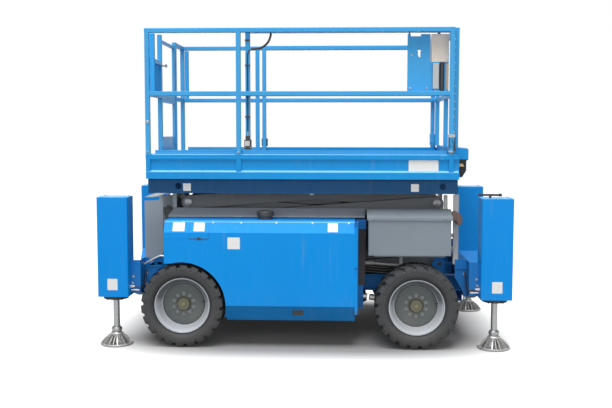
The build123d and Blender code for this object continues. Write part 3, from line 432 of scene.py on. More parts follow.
class Piece:
    """Faces of one fitting or one row of like fittings; `on` finishes it and puts it on its body."""

    def __init__(self, side=1, end=1):
        self.bm = bmesh.new()
        self.side, self.end = side, end

    def spot(self, point):
        """A place or a direction, carried to the piece's own side and end of the machine."""
        return point[0] * self.end, point[1] * self.side, point[2]

    def block(self, low, high, turn=None):
        """A block between two corners."""
        low, high = self.spot(low), self.spot(high)
        middle = [(a + b) / 2 for a, b in zip(low, high)]
        size = [abs(b - a) for a, b in zip(low, high)]
        place = Matrix.Translation(middle) @ Matrix.Diagonal(size + [1])
        bmesh.ops.create_cube(self.bm, size=1, matrix=(turn or Matrix()) @ place)
        return self

    def both(self, *corners):
        """Blocks given as pairs of corners, each on the right side and on the left."""
        for side in (-1, 1):
            for low, high in corners:
                self.block((low[0], side * low[1], low[2]), (high[0], side * high[1], high[2]))
        return self

    def turned(self, profile, place, steps=24, closed=False):
        """A (radius, height) outline turned about local Z of a matrix, or of a spot and the way it faces."""
        if not isinstance(place, Matrix):
            place = facing(*map(self.spot, place))
        rings = []
        for r, z in profile:
            if r < 1e-6:
                rings.append([self.bm.verts.new(place @ Vector((0, 0, z)))])
            else:
                rings.append([self.bm.verts.new(place @ Vector((r * cos(a), r * sin(a), z))) for a in turns(steps)])
        pairs = list(zip(rings, rings[1:]))
        if closed:
            pairs.append((rings[-1], rings[0]))
        for low, high in pairs:
            for k in range(steps):
                n = (k + 1) % steps
                corners = [low[k % len(low)], low[n % len(low)], high[n % len(high)], high[k % len(high)]]
                corners = [v for i, v in enumerate(corners) if v not in corners[:i]]
                if len(corners) > 2:
                    self.bm.faces.new(corners)
        return self

    def ring(self, place, inner, outer, low, high, steps=24):
        """A flat ring about local Z, or a disc where the inner radius is nought."""
        outline = ((inner, low), (outer, low), (outer, high), (inner, high))
        return self.turned(outline, place, steps, closed=inner > 0)

    def bar(self, a, b, r, sides=16, chamfer=0.15):
        """A round bar with chamfered ends, from a to b."""
        a, b = self.spot(a), self.spot(b)
        length = (Vector(b) - Vector(a)).length
        c = r * chamfer
        outline = ((0, 0), (r - c, 0), (r, c), (r, length - c), (r - c, length), (0, length))
        return self.turned(outline, unit(a, b), sides)

    def bolt(self, at, way, size=0.010, washer=True, sides=6):
        """A bolt head with its washer, `size` being its radius."""
        place = facing(self.spot(at), self.spot(way))
        if washer:
            self.ring(place, 0, size * 1.5, 0, size * 0.2, 14)
        top = ((0, size * 0.2), (size * 1.1, size * 0.2), (size * 1.1, size * 0.75), (size * 0.9, size), (0, size))
        return self.turned(top, place, sides)

    def slab(self, outline, low, high, place):
        """A flat outline of (x, y) points, thickened between two local heights."""
        rows = [[self.bm.verts.new(place @ Vector((x, y, z))) for x, y in outline] for z in (low, high)]
        count = len(outline)
        self.bm.faces.new(rows[0][::-1])
        self.bm.faces.new(rows[1])
        for k in range(count):
            n = (k + 1) % count
            self.bm.faces.new((rows[0][k], rows[0][n], rows[1][n], rows[1][k]))
        return self

    def plate(self, centre, across, up, width, height, thick, corner=0.004):
        """A thin plate with rounded corners on the plane of two directions, rising off it by its thickness."""
        across, up = Vector(across).normalized(), Vector(up).normalized()
        out = across.cross(up)
        place = Matrix((across, up, out)).transposed().to_4x4()
        place.translation = Vector(centre)
        x, y, outline = width / 2 - corner, height / 2 - corner, []
        for sx, sy, start in ((1, 1, 0), (-1, 1, 90), (-1, -1, 180), (1, -1, 270)):
            for a in (radians(start + step) for step in (0, 30, 60, 90)):
                outline.append((sx * x + corner * cos(a), sy * y + corner * sin(a)))
        return self.slab(outline, 0.0, thick, place)

    def channel(self, low, high, wall, open_way):
        """An upright U channel between two corners, its open side towards +1 or -1 in Y."""
        (x0, y0, z0), (x1, y1, z1) = low, high
        self.block((x0, y0, z0), (x0 + wall, y1, z1))
        self.block((x1 - wall, y0, z0), (x1, y1, z1))
        back = (y0, y0 + wall) if open_way > 0 else (y1 - wall, y1)
        return self.block((x0 + wall, back[0], z0), (x1 - wall, back[1], z1))

    def hose(self, points, r, sides=10, steps=8):
        """A round hose or wire along a smooth line through the points."""
        points = [Vector(self.spot(p)) for p in points]
        ends = [2 * points[0] - points[1]] + points + [2 * points[-1] - points[-2]]
        line = []
        for a, b, c, d in zip(ends, ends[1:], ends[2:], ends[3:]):
            for k in range(steps):
                t = k / steps
                bend = (2 * a - 5 * b + 4 * c - d) * t * t
                twist = (3 * b - a - 3 * c + d) * t ** 3
                line.append(0.5 * (2 * b + (c - a) * t + bend + twist))
        line.append(points[-1])
        side = (line[1] - line[0]).orthogonal().normalized()
        rings = []
        for k, spot in enumerate(line):
            along = (line[min(k + 1, len(line) - 1)] - line[max(k - 1, 0)]).normalized()
            side = (side - along * side.dot(along)).normalized()
            other = along.cross(side)
            rings.append([self.bm.verts.new(spot + r * (cos(a) * side + sin(a) * other)) for a in turns(sides)])
        for low, high in zip(rings, rings[1:]):
            for k in range(sides):
                n = (k + 1) % sides
                self.bm.faces.new((low[k], low[n], high[n], high[k]))
        self.bm.faces.new(rings[0][::-1])
        self.bm.faces.new(rings[-1])
        return self

    def on(self, name, body, finish, bevel=0.0, smooth=35):
        """Closes the piece: one mesh, its finish, softened edges, and the body that carries it."""
        bmesh.ops.recalc_face_normals(self.bm, faces=self.bm.faces)
        mesh = bpy.data.meshes.new(name)
        self.bm.to_mesh(mesh)
        self.bm.free()
        mesh.materials.append(FINISH[finish])
        mesh.shade_smooth()
        mesh.set_sharp_from_angle(angle=radians(smooth))
        item = bpy.data.objects.new(name, mesh)
        bpy.context.collection.objects.link(item)
        if bevel:
            soft = item.modifiers.new("soft edges", "BEVEL")
            soft.width, soft.segments, soft.limit_method = bevel, 2, "ANGLE"
            soft.harden_normals = True
        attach(item, body)
        return item


# ---- wheels ----------------------------------------------------------------
WHEEL_R, WHEEL_Y = 0.33, 0.7125
FRONT_AXLE_X, REAR_AXLE_X = 0.89, -0.96
DISC_FACE = 0.032              # the wheel disc's face, out from the wheel's middle
TYRE_HALF = (  # (radius, height) from the bead to the middle of the tread
    (0.212, 0.1085), (0.222, 0.1085), (0.23, 0.127), (0.238, 0.138), (0.244, 0.1415), (0.246, 0.145),
    (0.25, 0.147), (0.264, 0.1505), (0.278, 0.1515), (0.28, 0.149), (0.286, 0.1488), (0.288, 0.1505),
    (0.298, 0.148), (0.306, 0.14), (0.312, 0.115), (0.316, 0.07), (0.3175, 0.0),
)
LUG_PATH = (  # (height across, radius, rise, slip round the tyre, half width), from the wall inward
    (0.1505, 0.28, 0.001, 0.0, 0.024), (0.15, 0.289, 0.002, 0.0, 0.027), (0.1475, 0.3, 0.004, 0.001, 0.0295),
    (0.14, 0.307, 0.0175, 0.003, 0.029), (0.115, 0.312, 0.015, 0.012, 0.0265),
    (0.07, 0.3155, 0.0135, 0.032, 0.0235), (0.03, 0.3165, 0.0133, 0.05, 0.0225),
    (-0.006, 0.3167, 0.0131, 0.058, 0.025),
)
LUGS, WALL_ROWS = 22, 3
LUG_FOOT = 1.16                # how much wider a lug is at its foot
LUG_SUNK, WALL_REACH = 0.004, 0.1538


def tyre_piece(place):
    """Carcass with ribbed walls, and two staggered rows of slanted bars that wrap the shoulders."""
    tyre = Piece()
    tyre.turned(TYRE_HALF + tuple((r, -h) for r, h in TYRE_HALF[-2::-1]), place, 72, closed=True)
    for side in (1, -1):
        for middle in turns(LUGS, 0.25 * side):
            rows = []
            for step, (h, r, rise, slip, half) in enumerate(LUG_PATH):
                lean = 0.8 if step < WALL_ROWS else 0.0
                row = []
                for edge, sunk in ((-LUG_FOOT, True), (-1, False), (1, False), (LUG_FOOT, True)):
                    radius = r - LUG_SUNK if sunk else r + rise * (1 - lean)
                    out = h - 0.003 * (lean > 0) if sunk else min(h + rise * lean, WALL_REACH)
                    angle = middle + side * (slip + edge * half) / WHEEL_R
                    spot = Vector((radius * cos(angle), radius * sin(angle), side * out))
                    row.append(tyre.bm.verts.new(place @ spot))
                rows.append(row)
            for low, high in zip(rows, rows[1:]):
                for k in range(3):
                    tyre.bm.faces.new((low[k], low[k + 1], high[k + 1], high[k]))
            tyre.bm.faces.new(rows[0])
            tyre.bm.faces.new(rows[-1][::-1])
    return tyre


WHEEL_RINGS = (
    # piece, finish, steps, bevel, (radius, height) outline
    ("wheel_disc", "disc grey", 48, 0, ((0.064, 0.0283), (0.064, 0.031), (0.066, 0.032), (0.166, 0.032),
                                        (0.169, 0.03), (0.1695, 0.0283))),
    ("hub_cap", "hub olive", 32, 0.001, ((0, 0.069), (0.018, 0.069), (0.02, 0.0665), (0.044, 0.0665),
                                         (0.0515, 0.059), (0.0555, 0.0345), (0.062, 0.029))),
    ("hub_plug", "brass plug", 6, 0, ((0, 0.069), (0.0175, 0.069), (0.0175, 0.072), (0.011, 0.073),
                                      (0.0105, 0.079), (0, 0.0795))),
)


def wheel(name, x, side):
    body = "wheel_" + name
    place = facing((x, side * WHEEL_Y, WHEEL_R), (0, side, 0))
    tyre = tyre_piece(place).on("tyre_tread_" + name, body, "tyre rubber", smooth=30)
    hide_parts("tyre_" + name)
    for piece, finish, steps, bevel, outline in WHEEL_RINGS:
        Piece().turned(outline, place, steps).on(piece + "_" + name, body, finish, bevel)
    # A black ring round the disc's edge: painted shade of the groove between disc and rim.
    Piece().ring(place, 0.164, 0.169, 0.0305, 0.0324, 48).on("disc_edge_shade_ring_" + name, body, "black paint")
    nuts = Piece()
    for a in turns(10, 0.5):
        spot = place @ Vector((0.082 * cos(a), 0.082 * sin(a), DISC_FACE))
        nuts.bolt(spot, (0, side, 0), 0.0095)
        nuts.bar(spot, spot + Vector((0, side * 0.017, 0)), 0.0055, 10)
    nuts.on("wheel_nuts_" + name, body, "nut steel")
    stem = [place @ Vector(p) for p in ((0.17, 0.02, 0.03), (0.166, 0.02, 0.044), (0.15, 0.02, 0.052))]
    Piece().hose(stem, 0.0045, 8, 4).on("valve_" + name, body, "hose rubber")


# ---- side modules ----------------------------------------------------------
BEVEL = ((0.812, 0.995), (0.86, 0.915))      # (distance out, height) of the cover's bevelled edge, top and bottom
COVER_FACE_Y, COVER_TOP_Z = 0.86, 1.008
HINGE_X, HINGE_Y = 0.415, 0.85
FLAP_SIDES_X = (-0.893, -0.742)


def on_bevel(side, x, share, rise=0.0):
    """A place on the bevel, `share` of the way down it, with the bevel's outward and downward directions."""
    (y0, z0), (y1, z1) = BEVEL
    out = Vector((0, side * (z0 - z1), y1 - y0)).normalized()
    down = Vector((0, side * (y1 - y0), z1 - z0)).normalized()
    return Vector((x, side * (y0 + share * (y1 - y0)), z0 + share * (z1 - z0))) + rise * out, out, down


def cover_fittings(side, name):
    """Rivets, a pale bar that paints a highlight on the bevel's top edge, flap latch and seam, slot grille, filler cap
    and hinge collars of one cover.
    """
    body = name + "_module"
    rivets, seam = Piece(), Piece()
    for x in (-0.944, -0.71, -0.488, -0.211, 0.072, 0.355):
        spot, out, down = on_bevel(side, x, 0.06)
        rivets.turned(((0, 0), (0.008, 0), (0.007, 0.0025), (0.0035, 0.0042), (0, 0.0045)), facing(spot, out), 16)
    rivets.on("cover_rivets_" + name, body, "bright rod")
    # A pale bar along the bevel's top edge: a painted highlight.
    rim = Piece(side).bar((-1.094, 0.8115, 0.9935), (0.4, 0.8115, 0.9935), 0.0042, 12)
    rim.on("cover_edge_highlight_" + name, body, "edge blue")

    latch = Piece(side)
    for x0, x1, z0, z1, proud in ((*FLAP_SIDES_X, 0.8635, 0.869, 0.0015), (-0.834, -0.802, 0.859, 0.8735, 0.004),
                                  (-0.826, -0.81, 0.8735, 0.88, 0.003)):
        latch.block((x0, COVER_FACE_Y, z0), (x1, COVER_FACE_Y + proud, z1))
    latch.on("flap_latch_" + name, body, "black plastic", bevel=0.0008)
    for x in FLAP_SIDES_X:
        spot, out, down = on_bevel(side, x, 0.5, 0.0001)
        for middle, along, up, height in ((spot, side, down, 0.086),
                                          ((x, side * COVER_FACE_Y, 0.8915), -side, (0, 0, 1), 0.046)):
            seam.plate(middle, (along, 0, 0), up, 0.003, height, 0.0004, 0.0012)
    seam.on("flap_seam_" + name, body, "frame blue")

    grille = Piece(side).block((-0.092, 0.83, 0.258), (0.007, 0.8325, 0.312))
    for k in range(7):
        x = -0.078 + k * 0.0118
        grille.block((x, 0.8325, 0.258), (x + 0.003, 0.8365, 0.312))
    grille.on("slot_grille_" + name, body, "black plastic", bevel=0.0005)

    place = at(-0.309, side * 0.69, COVER_TOP_Z)
    cap = Piece().turned(((0, 0), (0.052, 0), (0.052, 0.018), (0.064, 0.022), (0.066, 0.026), (0.066, 0.06),
                          (0.062, 0.066), (0.03, 0.07), (0, 0.07)), place, 56)
    for a in turns(28):
        cap.block((0.065, -0.0028, 0.028), (0.0695, 0.0028, 0.059), place @ Matrix.Rotation(a, 4, "Z"))
    cap.on("filler_cap_" + name, body, "cast iron", bevel=0.0006)

    hinge = Piece()
    for z in (0.3, 0.64, 0.976):
        hinge.ring(at(HINGE_X, side * HINGE_Y, z), 0.0142, 0.0165, -0.01, 0.01)
    hinge.on("hinge_collars_" + name, body, "frame blue")


def module_inside(side, name):
    """What shows when the tray swings out: right pulleys or left valve block and coils, hoses and a canister."""
    body = name + "_module"
    ends = Piece(side)
    if side < 0:
        ends.turned(((0, -0.0001), (0.02, 0), (0.02, 0.02), (0, 0.02)), ((-0.3, 0.61, 0.9755), (0, 0, 1)), 20)
        for x, z, r in ((-0.3, 0.56, 0.085), (-0.12, 0.66, 0.045), (-0.2, 0.78, 0.035)):
            ends.turned(((0.012, 0), (r, 0), (r, 0.004), (r - 0.007, 0.008), (r, 0.012), (r, 0.016), (0.012, 0.016)),
                        ((x, 0.44, z), (0, -1, 0)), 40, closed=True)
    else:
        ends.block((-0.36, 0.398, 0.5), (-0.1, 0.44, 0.72))
        for k in range(6):
            x = -0.335 + 0.042 * k
            ends.bar((x, 0.419, 0.72), (x, 0.419, 0.79), 0.014)
    ends.on("drive_end_" + name, body, "zinc", bevel=0.002)
    lines = Piece(side)
    for k, (x, z) in enumerate(((0.02, 0.5), (0.07, 0.56), (0.12, 0.62))):
        lines.hose(((-0.05 + 0.02 * k, 0.446, z), (x, 0.412, z + 0.02),
                    (x + 0.08, 0.408, z - 0.03), (x + 0.15, 0.412, z + 0.06),
                    (x + 0.17, 0.446, z + 0.16)), 0.0085)
    lines.on("module_hoses_" + name, body, "hose rubber")
    canister = Piece(side).bar((-0.42, 0.815, 0.8), (-0.16, 0.815, 0.8), 0.032, 28, 0.25)
    for x in (-0.36, -0.22):
        canister.ring(((x, 0.815, 0.8), (1, 0, 0)), 0.0325, 0.0345, -0.006, 0.006, 28)
        canister.block((x - 0.008, 0.778, 0.775), (x + 0.008, 0.7845, 0.825))
    canister.on("filter_canister_" + name, body, "black paint")


def sheet(piece, x, y, z, width, height, thick=0.0006, corner=0.004):
    """A thin plate on the right side, facing out."""
    return piece.plate((x, -y, z), (1, 0, 0), (0, 0, 1), width, height, thick, corner)


def labels():
    """Blank stickers and the blank sign plate, all on the right side."""
    module, housings, under, screws = Piece(), Piece(), Piece(), Piece()
    for x0, x1 in ((-1.026, -0.932), (-0.86, -0.774), (0.192, 0.27)):
        spot, _, down = on_bevel(-1, (x0 + x1) / 2, 0.47, 0.0002)
        module.plate(spot, (1, 0, 0), -down, x1 - x0, 0.076, 0.0006)
    sheet(module, -0.5435, COVER_FACE_Y, 0.833, 0.097, 0.092).on("module_stickers", "right_module", "sticker")
    for x in (-1.505, 1.505):
        sheet(housings, x, 0.8635, 0.5, 0.08, 0.09)
    housings.on("housing_stickers", "chassis", "sticker")
    for x in (-0.934, 0.875):
        sheet(under, x, 0.706, 1.262, 0.062, 0.06)
    under.on("underframe_stickers", "platform", "sticker")
    sign = sheet(Piece(), 0.9355, 0.754, 1.434, 0.232, 0.096, 0.003, 0.008)
    sign.on("blank_sign_plate", "platform", "sticker", bevel=0.0008)
    for x in (0.828, 1.043):
        for z in (1.39, 1.47):
            screws.bolt((x, -0.757, z), (0, -1, 0), 0.003, False)
    screws.on("sign_plate_screws", "platform", "zinc")


# ---- chassis fittings ------------------------------------------------------
def gap_fittings(side, name):
    """What shows between the cover and the tank: a dark sheet that paints the opening's shade, grey link, hoses and
    filters along the rail.
    """
    # A dark sheet where the opening shows only shade: painted shade.
    Piece().slab(((0.419, 0.925), (0.4935, 0.925), (0.486, 0.47), (0.419, 0.47)), 0, 0.002,
                 upright(side, 0.6082)).on("gap_shade_sheet_" + name, "chassis", "dark lining")
    link = Piece(side).bar((0.42, 0.44, 0.628), (0.56, 0.44, 0.622), 0.017, 20)
    link.bar((0.555, 0.44, 0.622), (0.78, 0.44, 0.606), 0.011, 20)
    link.block((0.4, 0.4, 0.606), (0.424, 0.462, 0.65))
    link.block((0.775, 0.425, 0.594), (0.8, 0.455, 0.728))
    link.on("brake_link_" + name, "chassis", "light grey", bevel=0.0015)
    lines = Piece(side)
    for k, z in enumerate((0.585, 0.563, 0.541)):
        lines.hose(((0.4, 0.392, z), (0.52, 0.396, z + 0.006), (0.64, 0.394, z - 0.004),
                    (0.76, 0.392, z + 0.004), (0.82, 0.4, z + 0.01),
                    (0.85, 0.42, 0.48 + 0.02 * k)), 0.0095)
    lines.on("rail_hoses_" + name, "chassis", "hose rubber")
    cans = Piece(side)
    for x0, x1, z in ((0.425, 0.512, 0.352), (0.528, 0.594, 0.34)):
        cans.bar((x0, 0.428, z), (x1, 0.428, z - 0.008), 0.026, 28, 0.22)
        cans.block((x0 + 0.02, 0.375, z - 0.01), (x0 + 0.05, 0.41, z + 0.01))
    cans.on("line_filters_" + name, "chassis", "bright rod")


def tank_fittings(side, name):
    """Lid buffer and strut, the upright at the tank's end, and the tank's screws."""
    buffer = Piece().slab(((1.1725, 1.07), (1.196, 1.078), (1.232, 1.058), (1.25, 1.022), (1.246, 0.975),
                           (1.214, 0.968), (1.2, 1.004), (1.1725, 1.012)), 0, 0.09, upright(side, 0.63))
    buffer.on("lid_buffer_" + name, "chassis", "brown rubber", bevel=0.005)
    post = Piece(side).channel((1.19, 0.585, 0.645), (1.232, 0.6195, 1.204), 0.004, -1)
    for z in (0.86, 0.76):
        post.block((1.1725, 0.59, z), (1.19, 0.61, z + 0.03))
    post.on("end_upright_" + name, "chassis", "light grey", bevel=0.001)
    strut = Piece(side).bar((1.134, 0.56, 1.084), (1.132, 0.56, 1.196), 0.016, 20)
    strut.ring(at(1.134, side * 0.56, 1.0785), 0, 0.026, 0, 0.006)
    strut.on("lid_strut_" + name, "chassis", "light grey")
    fasteners = Piece(side)
    for x in (0.56, 0.836, 1.112):
        fasteners.bolt((x, 0.752, 1.019), (0, 1, 0), 0.0055)
    for x in (0.54, 1.132):
        for z in (0.745, 0.99):
            fasteners.bolt((x, 0.742, z), (0, 1, 0), 0.0045)
    fasteners.on("tank_screws_" + name, "chassis", "side grey")


HOUSING_X, HOUSING_Y, HOUSING_TOP = 1.50175, 0.7635, 1.187
FOOT_RINGS = (
    # steps, (radius, height) outline
    (48, ((0.118, 0.02), (0.127, 0.0185), (0.1292, 0.012), (0.1292, 0.006), (0.123, 0.006))),
    (32, ((0.0405, 0.086), (0.049, 0.088), (0.05, 0.095), (0.044, 0.101), (0.0345, 0.102))),
)
FOOT_RIB = ((0.04, 0.016), (0.127, 0.012), (0.1285, 0.017), (0.118, 0.034), (0.095, 0.057), (0.07, 0.077),
            (0.047, 0.09), (0.0395, 0.091))


def jack_fittings(end, side, name):
    """Cap in a paler blue that paints the light on the housing's top, guide plate and wedge of one jack housing, its
    foot's ribs, and a handle on the front right one.
    """
    x, y = end * HOUSING_X, side * HOUSING_Y
    place = at(x, y, 0)
    corners = [(sx, sy) for sx in (-1, 1) for sy in (-1, 1)]
    cap = Piece().plate((x, y, HOUSING_TOP), (1, 0, 0), (0, 1, 0), 0.2425, 0.199, 0.0035, 0.01)
    guide = Piece().turned(((0.053, 0.3755), (0.096, 0.3755), (0.099, 0.3785), (0.099, 0.3955), (0.096, 0.3985),
                            (0.053, 0.3985)), place, 40, closed=True)
    for sx, sy in corners:
        cap.bolt((x + 0.095 * sx, y + 0.075 * sy, HOUSING_TOP + 0.0035), (0, 0, 1), 0.006)
        guide.bolt((x + 0.056 * sx, y + 0.056 * sy, 0.3755), (0, 0, -1), 0.007)
    # Paler blue on the cap: painted light on the housing's top.
    cap.on("housing_cap_" + name, "chassis", "cap blue")
    guide.on("rod_guide_" + name, "chassis", "black paint")
    wedge = Piece().slab([(side * out, z) for out, z in ((0.6635, 0.585), (0.6635, 0.43), (0.575, 0.43),
                                                         (0.575, 0.475))],
                         *sorted((end * 1.384, end * 1.619)), across(0))
    wedge.on("housing_wedge_" + name, "chassis", "jack blue", bevel=0.002)
    foot = Piece()
    for a in turns(12, 0.5):
        foot.slab(FOOT_RIB, -0.0035, 0.0035, place @ Matrix.Rotation(a, 4, "Z") @ upright(-1, 0))
    for steps, outline in FOOT_RINGS:
        foot.turned(outline, place, steps, closed=True)
    foot.on("foot_ribs_" + name, "jack_" + name, "bright rod", bevel=0.0008)
    if end > 0 and side < 0:
        grip_z, grip_ends = 1.2135, (1.374, 1.532)
        handle = Piece().bar((grip_ends[0], y, grip_z), (grip_ends[1], y, grip_z), 0.0085)
        handle.bar((1.455, y, 1.19), (1.455, y, grip_z), 0.01)
        for grip_x in grip_ends:
            handle.turned(((0, -0.014), (0.01, -0.012), (0.0125, 0), (0.01, 0.012), (0, 0.014)),
                          ((grip_x, y, grip_z), (1, 0, 0)), 20)
        handle.on("housing_handle_" + name, "chassis", "black plastic")


def beam_fittings(end, side, name):
    """Bolts and corner plate of one end of a beam, the hose that crosses it, and the retaining pin."""
    bolts = Piece(side, end)
    for x, z in ((1.285, 0.57), (1.285, 0.375)) if end > 0 else ((1.285, 0.557), (1.288, 0.47)):
        bolts.bolt((x, 0.628, z), (0, 1, 0), 0.0085)
    for x, z in ((1.357, 0.552), (1.364, 0.5), (1.325, 0.445)):
        bolts.bolt((x, 0.783, z), (0, 1, 0), 0.0065)
    bolts.on("beam_bolts_" + name, "chassis", "zinc")
    corner = Piece(side, end).block((1.2995, 0.628, 0.4215), (1.3035, 0.7755, 0.6835))
    corner.on("beam_corner_" + name, "chassis", "frame blue", bevel=0.001)
    Piece(side, end).hose(((1.286, 0.634, 0.585), (1.286, 0.65, 0.55), (1.286, 0.68, 0.505),
                           (1.287, 0.735, 0.476), (1.291, 0.785, 0.468), (1.31, 0.799, 0.466),
                           (1.378, 0.797, 0.474)), 0.006).on("beam_hose_" + name, "chassis", "hose rubber")
    ends = Piece(side, end).turned(((0, 0), (0.0125, 0), (0.0125, 0.014), (0.01, 0.016), (0.01, 0.034), (0, 0.034)),
                                    ((1.379, 0.796, 0.474), (-1, 0, 0)), 6)
    ends.bar((1.305, 0.793, 0.447), (1.376, 0.793, 0.447), 0.006)
    ends.on("beam_pin_" + name, "chassis", "bright rod")


GUARD_HALF = ((0.365, 0.6635), (0.365, 0.79), (0.305, 0.85), (0.305, 1.19), (0.285, 1.204))


def rear_fittings():
    """Grab rods and gussets at the rear tyres, stack guard, height switch, and the ladder's lip, studs and bolts."""
    rods, gussets, ladder_bolts, guard = Piece(), Piece(), Piece(), Piece()
    guard.slab([(y * sign, z) for sign, outline in ((-1, GUARD_HALF), (1, GUARD_HALF[::-1])) for y, z in outline],
               0, 0.004, across(-1.129))
    clear = [(REAR_AXLE_X + 0.345 * cos(radians(a)), WHEEL_R + 0.345 * sin(radians(a))) for a in range(125, 151, 5)]
    for side in (-1, 1):
        rods.hose([(x, side * 0.648, z) for x, z in ((-1.322, 0.602), (-1.32, 0.618), (-1.296, 0.637),
                                                     (-1.235, 0.67), (-1.172, 0.7), (-1.135, 0.698))], 0.007, 14)
        rods.ring(at(-1.322, side * 0.648, 0.6), 0, 0.018, 0, 0.004, 20)
        gussets.slab([(-1.262, 0.612), (-1.158, 0.612), *clear, (-1.262, 0.5)], 0, 0.008, upright(side, 0.62))
        guard.bolt((-1.11, side * 0.365, 0.7), (0, side, 0), 0.008)
        for x in (-1.345, -1.3, -1.255):
            ladder_bolts.bolt((x, side * 0.303, 0.622), (0, side, 0), 0.008)
    gussets.both(((-1.262, 0.62, 0.612), (-1.156, 0.642, 0.617)))
    guard.both(((-1.125, 0.301, 0.85), (-1.095, 0.305, 1.185)), ((-1.125, 0.361, 0.6635), (-1.095, 0.365, 0.785)))
    rods.on("grab_rods", "chassis", "bright rod")
    gussets.on("rear_gussets", "chassis", "frame blue", bevel=0.001)
    guard.on("stack_end_guard", "chassis", "shelf grey", bevel=0.0012)
    bend = ((-1.362, 1.1505), (-1.3, 1.1505), (-1.262, 1.154), (-1.222, 1.168), (-1.185, 1.18), (-1.129, 1.183))
    lip = Piece().slab(bend + tuple((x, z + 0.006) for x, z in bend[::-1]), -0.303, 0.303, upright(-1, 0))
    lip.on("ladder_top_lip", "chassis", "light grey", bevel=0.001)
    switch = Piece().block((-1.186, -0.352, 0.966), (-1.129, -0.3055, 1.06))
    switch.block((-1.176, -0.344, 1.06), (-1.145, -0.314, 1.082))
    switch.on("height_switch", "chassis", "black plastic", bevel=0.004)
    studs = Piece()
    for z in (0.7, 0.86, 1.02):
        for k in range(28):
            for x in (-1.345, -1.318, -1.291, -1.264, -1.237):
                studs.turned(((0, 0.003), (0.003, 0.003), (0.0062, 0)), at(x, -0.2835 + 0.021 * k, z), 8)
    studs.on("ladder_tread_studs", "chassis", "side grey")
    ladder_bolts.on("ladder_bolts", "chassis", "zinc")


def axle_fittings():
    """Drive motor bolts, axle bolts, hoses between the axles and the rails, and the belly pan's screws."""
    bolts, lines, screws = Piece(), Piece(), Piece()
    for side in (-1, 1):
        for a in turns(8, 0.5):
            x, z = REAR_AXLE_X + 0.084 * cos(a), WHEEL_R + 0.084 * sin(a)
            bolts.bolt((x, side * 0.6, z), (0, side, 0), 0.006)
            bolts.bolt((x, side * 0.52, z), (0, -side, 0), 0.006)
        for axle_x in (REAR_AXLE_X, FRONT_AXLE_X):
            for dx in (-0.035, 0.035):
                bolts.bolt((axle_x + dx, side * 0.371, 0.352), (0, side, 0), 0.009)
        for x in (-0.93, -0.885):
            lines.hose([(x + dx, side * y, z) for dx, y, z in (
                (0, 0.56, 0.415), (0.004, 0.56, 0.47), (0.03, 0.52, 0.56), (0.08, 0.45, 0.575), (0.13, 0.4, 0.545),
                (0.15, 0.378, 0.48))], 0.0085)
        lines.hose([(x, side * y, z) for x, y, z in ((0.8, 0.376, 0.47), (0.79, 0.41, 0.5), (0.815, 0.44, 0.48),
                                                     (0.85, 0.46, 0.4), (0.86, 0.47, 0.372))], 0.0085)
        for k in range(9):
            screws.bolt((-0.43 + 0.1 * k, side * 0.355, 0.245), (0, 0, -1), 0.005)
    bolts.on("axle_bolts", "chassis", "zinc")
    lines.on("motor_hoses", "chassis", "hose rubber")
    screws.on("belly_screws", "chassis", "zinc")


# ---- scissor stack ---------------------------------------------------------
STAGES, FIXED_X, SLIDE_X, STACK_Z, STAGE_H = 5, 1.093, -1.003, 0.452, 0.164
MIDDLE_X = (FIXED_X + SLIDE_X) / 2


def pin_cap(piece, x, z, side, out=0.2805, r=0.031):
    """Retaining plate on a pin's end: a disc with a small boss."""
    place = facing((x, side * out, z), (0, side, 0))
    piece.turned(((0, 0), (r, 0), (r, 0.0035), (r - 0.002, 0.0045), (0, 0.0045)), place, 32)
    piece.turned(((0, 0.0045), (0.007, 0.0045), (0.006, 0.0062), (0, 0.0062)), place, 16)


def along_arm(low, share):
    """(x, z) of a place on an inner arm, `share` of the way back from its fixed end."""
    return FIXED_X + share * (SLIDE_X - FIXED_X), low + share * STAGE_H


def stack_fittings():
    """Pin caps on every pair, the hoses clipped to the inner arms, and the plates beside the top centre pin."""
    for stage in range(1, STAGES + 1):
        low, high = STACK_Z + (stage - 1) * STAGE_H, STACK_Z + stage * STAGE_H
        caps, middle, lines, clips = Piece(), Piece(), Piece(), Piece()
        for side in (-1, 1):
            if stage > 1:
                pin_cap(caps, SLIDE_X, low, side)
            if stage < STAGES:
                pin_cap(caps, FIXED_X, high, side)
            pin_cap(middle, MIDDLE_X, (low + high) / 2, side, 0.2832, 0.022)
            for drop in (-0.018, 0.01):
                spots = [along_arm(low, share) for share in (0.13, 0.36, 0.64, 0.87)]
                lines.hose([(x, side * 0.1415, z + drop) for x, z in spots], 0.0068)
        for share in (0.18, 0.34, 0.6, 0.84):
            x, z = along_arm(low, share)
            clips.both(((x - 0.008, 0.1345, z - 0.03), (x + 0.008, 0.1502, z + 0.022)))
        for piece, name, body, finish, bevel in (
                (caps, "pin_caps", "outer_arms", "zinc", 0), (middle, "centre_pin_caps", "inner_arms", "zinc", 0),
                (lines, "arm_hoses", "inner_arms", "hose rubber", 0),
                (clips, "hose_clips", "inner_arms", "zinc", 0.0015)):
            piece.on("%s_%d" % (name, stage), "%s_%d" % (body, stage), finish, bevel)
    shields = Piece()
    outline = [(MIDDLE_X + dx, z) for dx, z in ((-0.25, 1.1), (-0.2, 1.084), (0.2, 1.084), (0.25, 1.1), (0.12, 1.16),
                                                (-0.12, 1.16))]
    for side in (-1, 1):
        shields.slab(outline, 0, 0.004, upright(side, 0.118))
    shields.on("centre_shields", "inner_arms_5", "arm grey", bevel=0.001)


